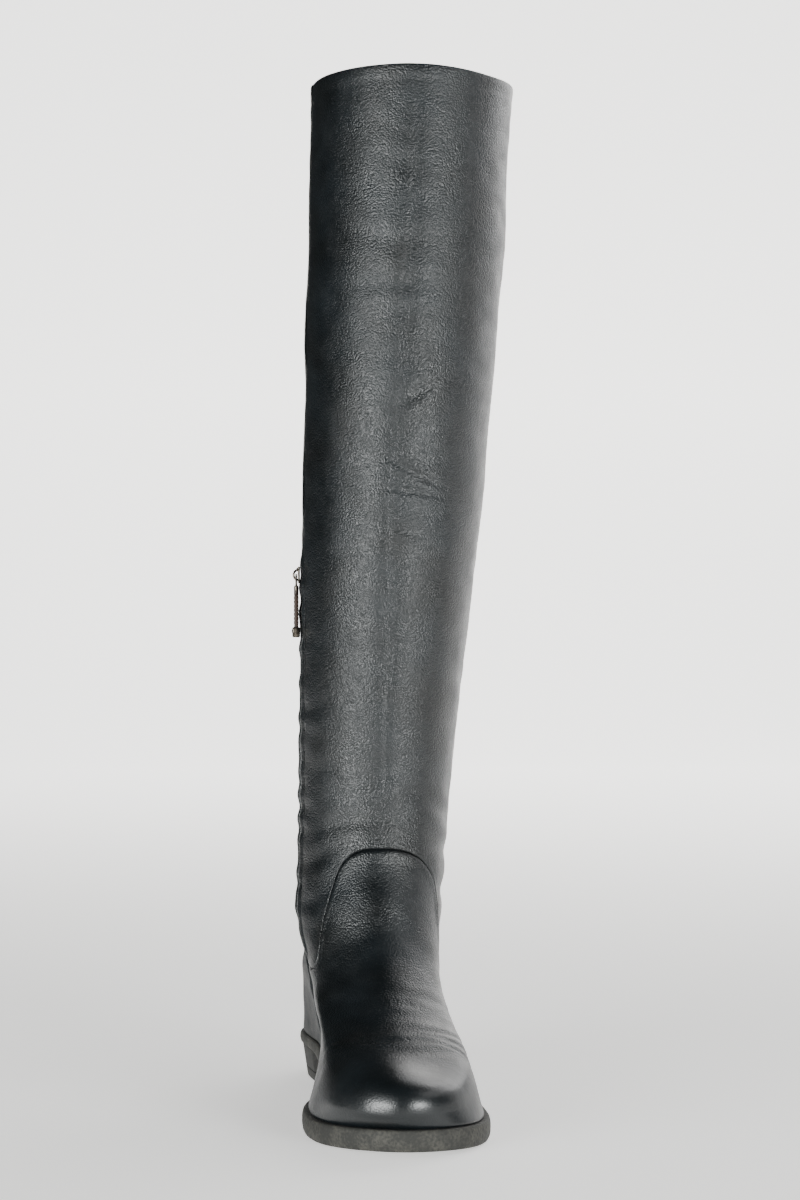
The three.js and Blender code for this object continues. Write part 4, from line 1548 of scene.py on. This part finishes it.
@dataclass
class Stitching:
    """Rows of black thread along the zip and round the quarter."""

    length: float = 2.5
    pitch: float = 3.2
    thread: float = 0.55
    quarter_reach: float = 0.975

    def row(self, turns: np.ndarray, levels: np.ndarray, offset: float) -> list[Matrix]:
        """Places of stitches along a line on the shell.

        Args:
            turns, levels: the line, closely spaced.
            offset: how far the thread lies outside the shell.

        Returns:
            One matrix for each stitch.
        """
        line = SHELL.place(turns, levels, offset)
        normal = SHELL.normals(turns, levels)
        steps = np.linalg.norm(np.diff(line, axis=0), axis=1)
        distance = np.concatenate([[0], np.cumsum(steps)])
        frames = []
        for place in np.arange(self.pitch / 2, distance[-1], self.pitch):
            ends = [np.array([np.interp(place + e, distance, line[:, k]) for k in range(3)]) for e in (-1, 1)]
            middle = (ends[0] + ends[1]) / 2
            out = np.array([np.interp(place, distance, normal[:, k]) for k in range(3)])
            frames.append(frame_from(middle, ends[1] - ends[0], out))
        return frames

    def stitch(self) -> bpy.types.Object:
        """One stitch, pulled down at its ends."""
        shape = rounded_block("stitch", (self.length, self.thread, self.thread * 0.8), (0, 0, 0), 0.2, 2)
        for vertex in shape.data.vertices:
            vertex.co.z -= 0.25 * MM * abs(vertex.co.x / (self.length / 2 * MM)) ** 3
        return shape

    def build(self, quarter: Quarter) -> list[bpy.types.Object]:
        """Every stitch on the leather, as one piece."""
        frames = []
        heights = np.linspace(ZIP.low + 2, ZIP.high + 5, 300)
        level = SHELL.level_at(np.full_like(heights, ZIP.turn), heights)
        reach = SHELL.reach(np.full_like(heights, ZIP.turn), level)
        for side in (-1, 1):
            turns = ZIP.turn + side * (ZIP.half_slit + 6.8) / reach
            frames += self.row(turns, SHELL.level_at(turns, heights), 0.1)
        proud = quarter.base + quarter.thickness
        up = np.linspace(0.06, 0.955, 80)
        across = np.linspace(-self.quarter_reach, self.quarter_reach, 260)
        for side in (-1, 1):
            frames += self.row(*quarter.grid(side * self.quarter_reach + 0 * up, up), proud)
        row_height = 1 - quarter.stitch_inset / 60 + 0 * across
        frames += self.row(*quarter.grid(across, row_height), proud)
        threads = Finishes.THREAD.value.dress(repeat("topstitching", self.stitch(), frames))
        return [threads]


# ------------------------------------------------------------------ studio


@dataclass(frozen=True)
class Softbox:
    """A rectangular soft light, with its place, aim, width and height in metres."""

    name: str
    place: tuple
    aim: tuple
    size: tuple
    watts: float
    colour: str = "#fafdfc"

    def build(self) -> None:
        """Puts the light up."""
        data = bpy.data.lights.new(self.name, "AREA")
        data.shape, data.size, data.size_y = "RECTANGLE", *self.size
        data.energy, data.color = self.watts, linear(self.colour)[:3]
        obj = bpy.data.objects.new(self.name, data)
        obj.location = self.place
        obj.rotation_euler = (Vector(self.aim) - Vector(self.place)).to_track_quat("-Z", "Y").to_euler()
        bpy.context.scene.collection.objects.link(obj)


SOFTBOXES = (
    Softbox("left_window", (-1.5, -1.52, 0.25), (0.02, 0, 0.28), (1.45, 0.42), 66),
    Softbox("right_window", (1.2, -1.7, 0.25), (0.02, 0, 0.28), (0.85, 0.42), 42),
    Softbox("left_high", (-1.35, -1.55, 1.05), (0.02, 0, 0.2), (1.0, 0.5), 4),
    Softbox("right_high", (1.2, -1.6, 1.05), (0.02, 0, 0.2), (0.9, 0.5), 3),
    Softbox("high_right", (1.5, -0.4, 1.5), (0.05, -0.1, 0.1), (1.2, 1.0), 7, "#ffffff"),
    Softbox("back_right", (1.7, 1.5, 1.5), (0.05, -0.15, 0.1), (1.4, 1.4), 20, "#ffffff"),
    Softbox("back_high", (0.75, 1.5, 1.9), (0.02, -0.15, 0.0), (1.0, 0.9), 9, "#ffffff"),
    Softbox("right_wall", (1.5, 0.85, 0.5), (0.02, 0, 0.25), (1.2, 1.4), 7, "#ffffff"),
)


def pick_back_edge(paper: bpy.types.Object) -> None:
    """Selects only the floor's back edge, in the paper's open mesh."""
    mesh = bmesh.from_edit_mesh(paper.data)
    for item in (*mesh.verts, *mesh.edges, *mesh.faces):
        item.select = False
    for edge in mesh.edges:
        if all(v.co.y > 3.2 and v.co.z < 0.1 for v in edge.verts):
            edge.select = True
    bmesh.update_edit_mesh(paper.data)


@dataclass
class Studio:
    """White paper sweep, soft lights and the camera."""

    eye: tuple = (-0.0456, -1.498, 0.290)
    focal_px: float = 2450.0
    frame_px: int = 1200
    sensor_mm: float = 36.0
    aim_x: float = 0.024
    aim_y: float = -0.03
    wall_height: float = 2.6

    def sweep(self) -> bpy.types.Object:
        """Floor and background in one sheet, with a wide curve between them."""
        plane = bpy.ops.mesh.primitive_plane_add
        paper = primitive(plane, "paper_sweep", size=1, location=(0, 0, 0))
        paper.scale = (3.0, 6.2, 1)
        paper.location = (0.86, 0.3, -0.0001)
        only(apply_all(paper))
        bpy.ops.object.mode_set(mode="EDIT")
        pick_back_edge(paper)
        bpy.ops.mesh.extrude_region_move(TRANSFORM_OT_translate={"value": (0, 0, self.wall_height)})
        pick_back_edge(paper)
        bpy.ops.mesh.bevel(offset=0.7, segments=24)
        bpy.ops.object.mode_set(mode="OBJECT")
        smooth(paper)
        floor = primitive(plane, "floor", size=1, location=(1.2, 0, -0.001))
        floor.scale = (4.2, 6.8, 1)
        apply_all(floor)
        # floor and sweep both carry the paper's painted glow
        Finishes.PAPER.value.dress(floor)
        return Finishes.PAPER.value.dress(paper)

    def camera(self) -> None:
        """A level camera at the height of the shin, turned to face the boot."""
        data = bpy.data.cameras.new("camera")
        data.sensor_fit, data.sensor_height, data.sensor_width = "VERTICAL", self.sensor_mm, self.sensor_mm
        data.lens = self.focal_px / self.frame_px * self.sensor_mm
        data.clip_start, data.clip_end = 0.05, 50
        obj = bpy.data.objects.new("camera", data)
        obj.location = self.eye
        yaw = math.atan2(self.aim_x - self.eye[0], self.aim_y - self.eye[1])
        obj.rotation_euler = (math.pi / 2, 0, -yaw)
        bpy.context.scene.collection.objects.link(obj)
        bpy.context.scene.camera = obj

    def build(self) -> None:
        """Sweep, lights, surrounding light and camera."""
        self.sweep()
        for softbox in SOFTBOXES:
            softbox.build()
        world = bpy.data.worlds.new("room")
        world.use_nodes = True
        world.node_tree.nodes.clear()
        sky_light = {"Color": linear("#f4f6f8"), "Strength": 0.045}
        sky = add_node(world.node_tree, "ShaderNodeBackground", sky_light)
        add_node(world.node_tree, "ShaderNodeOutputWorld", {"Surface": sky.outputs[0]})
        bpy.context.scene.world = world
        self.camera()


# ------------------------------------------------------------------ assembly


def main() -> None:
    """Builds the boot, piece by piece, and sets it in the studio."""
    logging.basicConfig(level=logging.INFO, format="%(name)s: %(message)s")
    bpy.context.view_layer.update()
    Studio().build()
    quarter = Quarter()
    shaft = Shaft().build()
    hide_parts("upper")
    fixed = shaft + Vamp().build() + Lining().build() + quarter.build() + Sole().build()
    zip_fixed, zip_swinging = Zip().build()
    fixed += zip_fixed + Stitching().build(quarter)
    for piece in fixed:
        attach(piece, "boot")
    for piece in zip_swinging:
        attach(piece, "pull")
    for piece in fixed + zip_swinging:
        log.info("%s: %d faces", piece.name, len(piece.data.polygons))


if __name__ == "__main__":
    main()
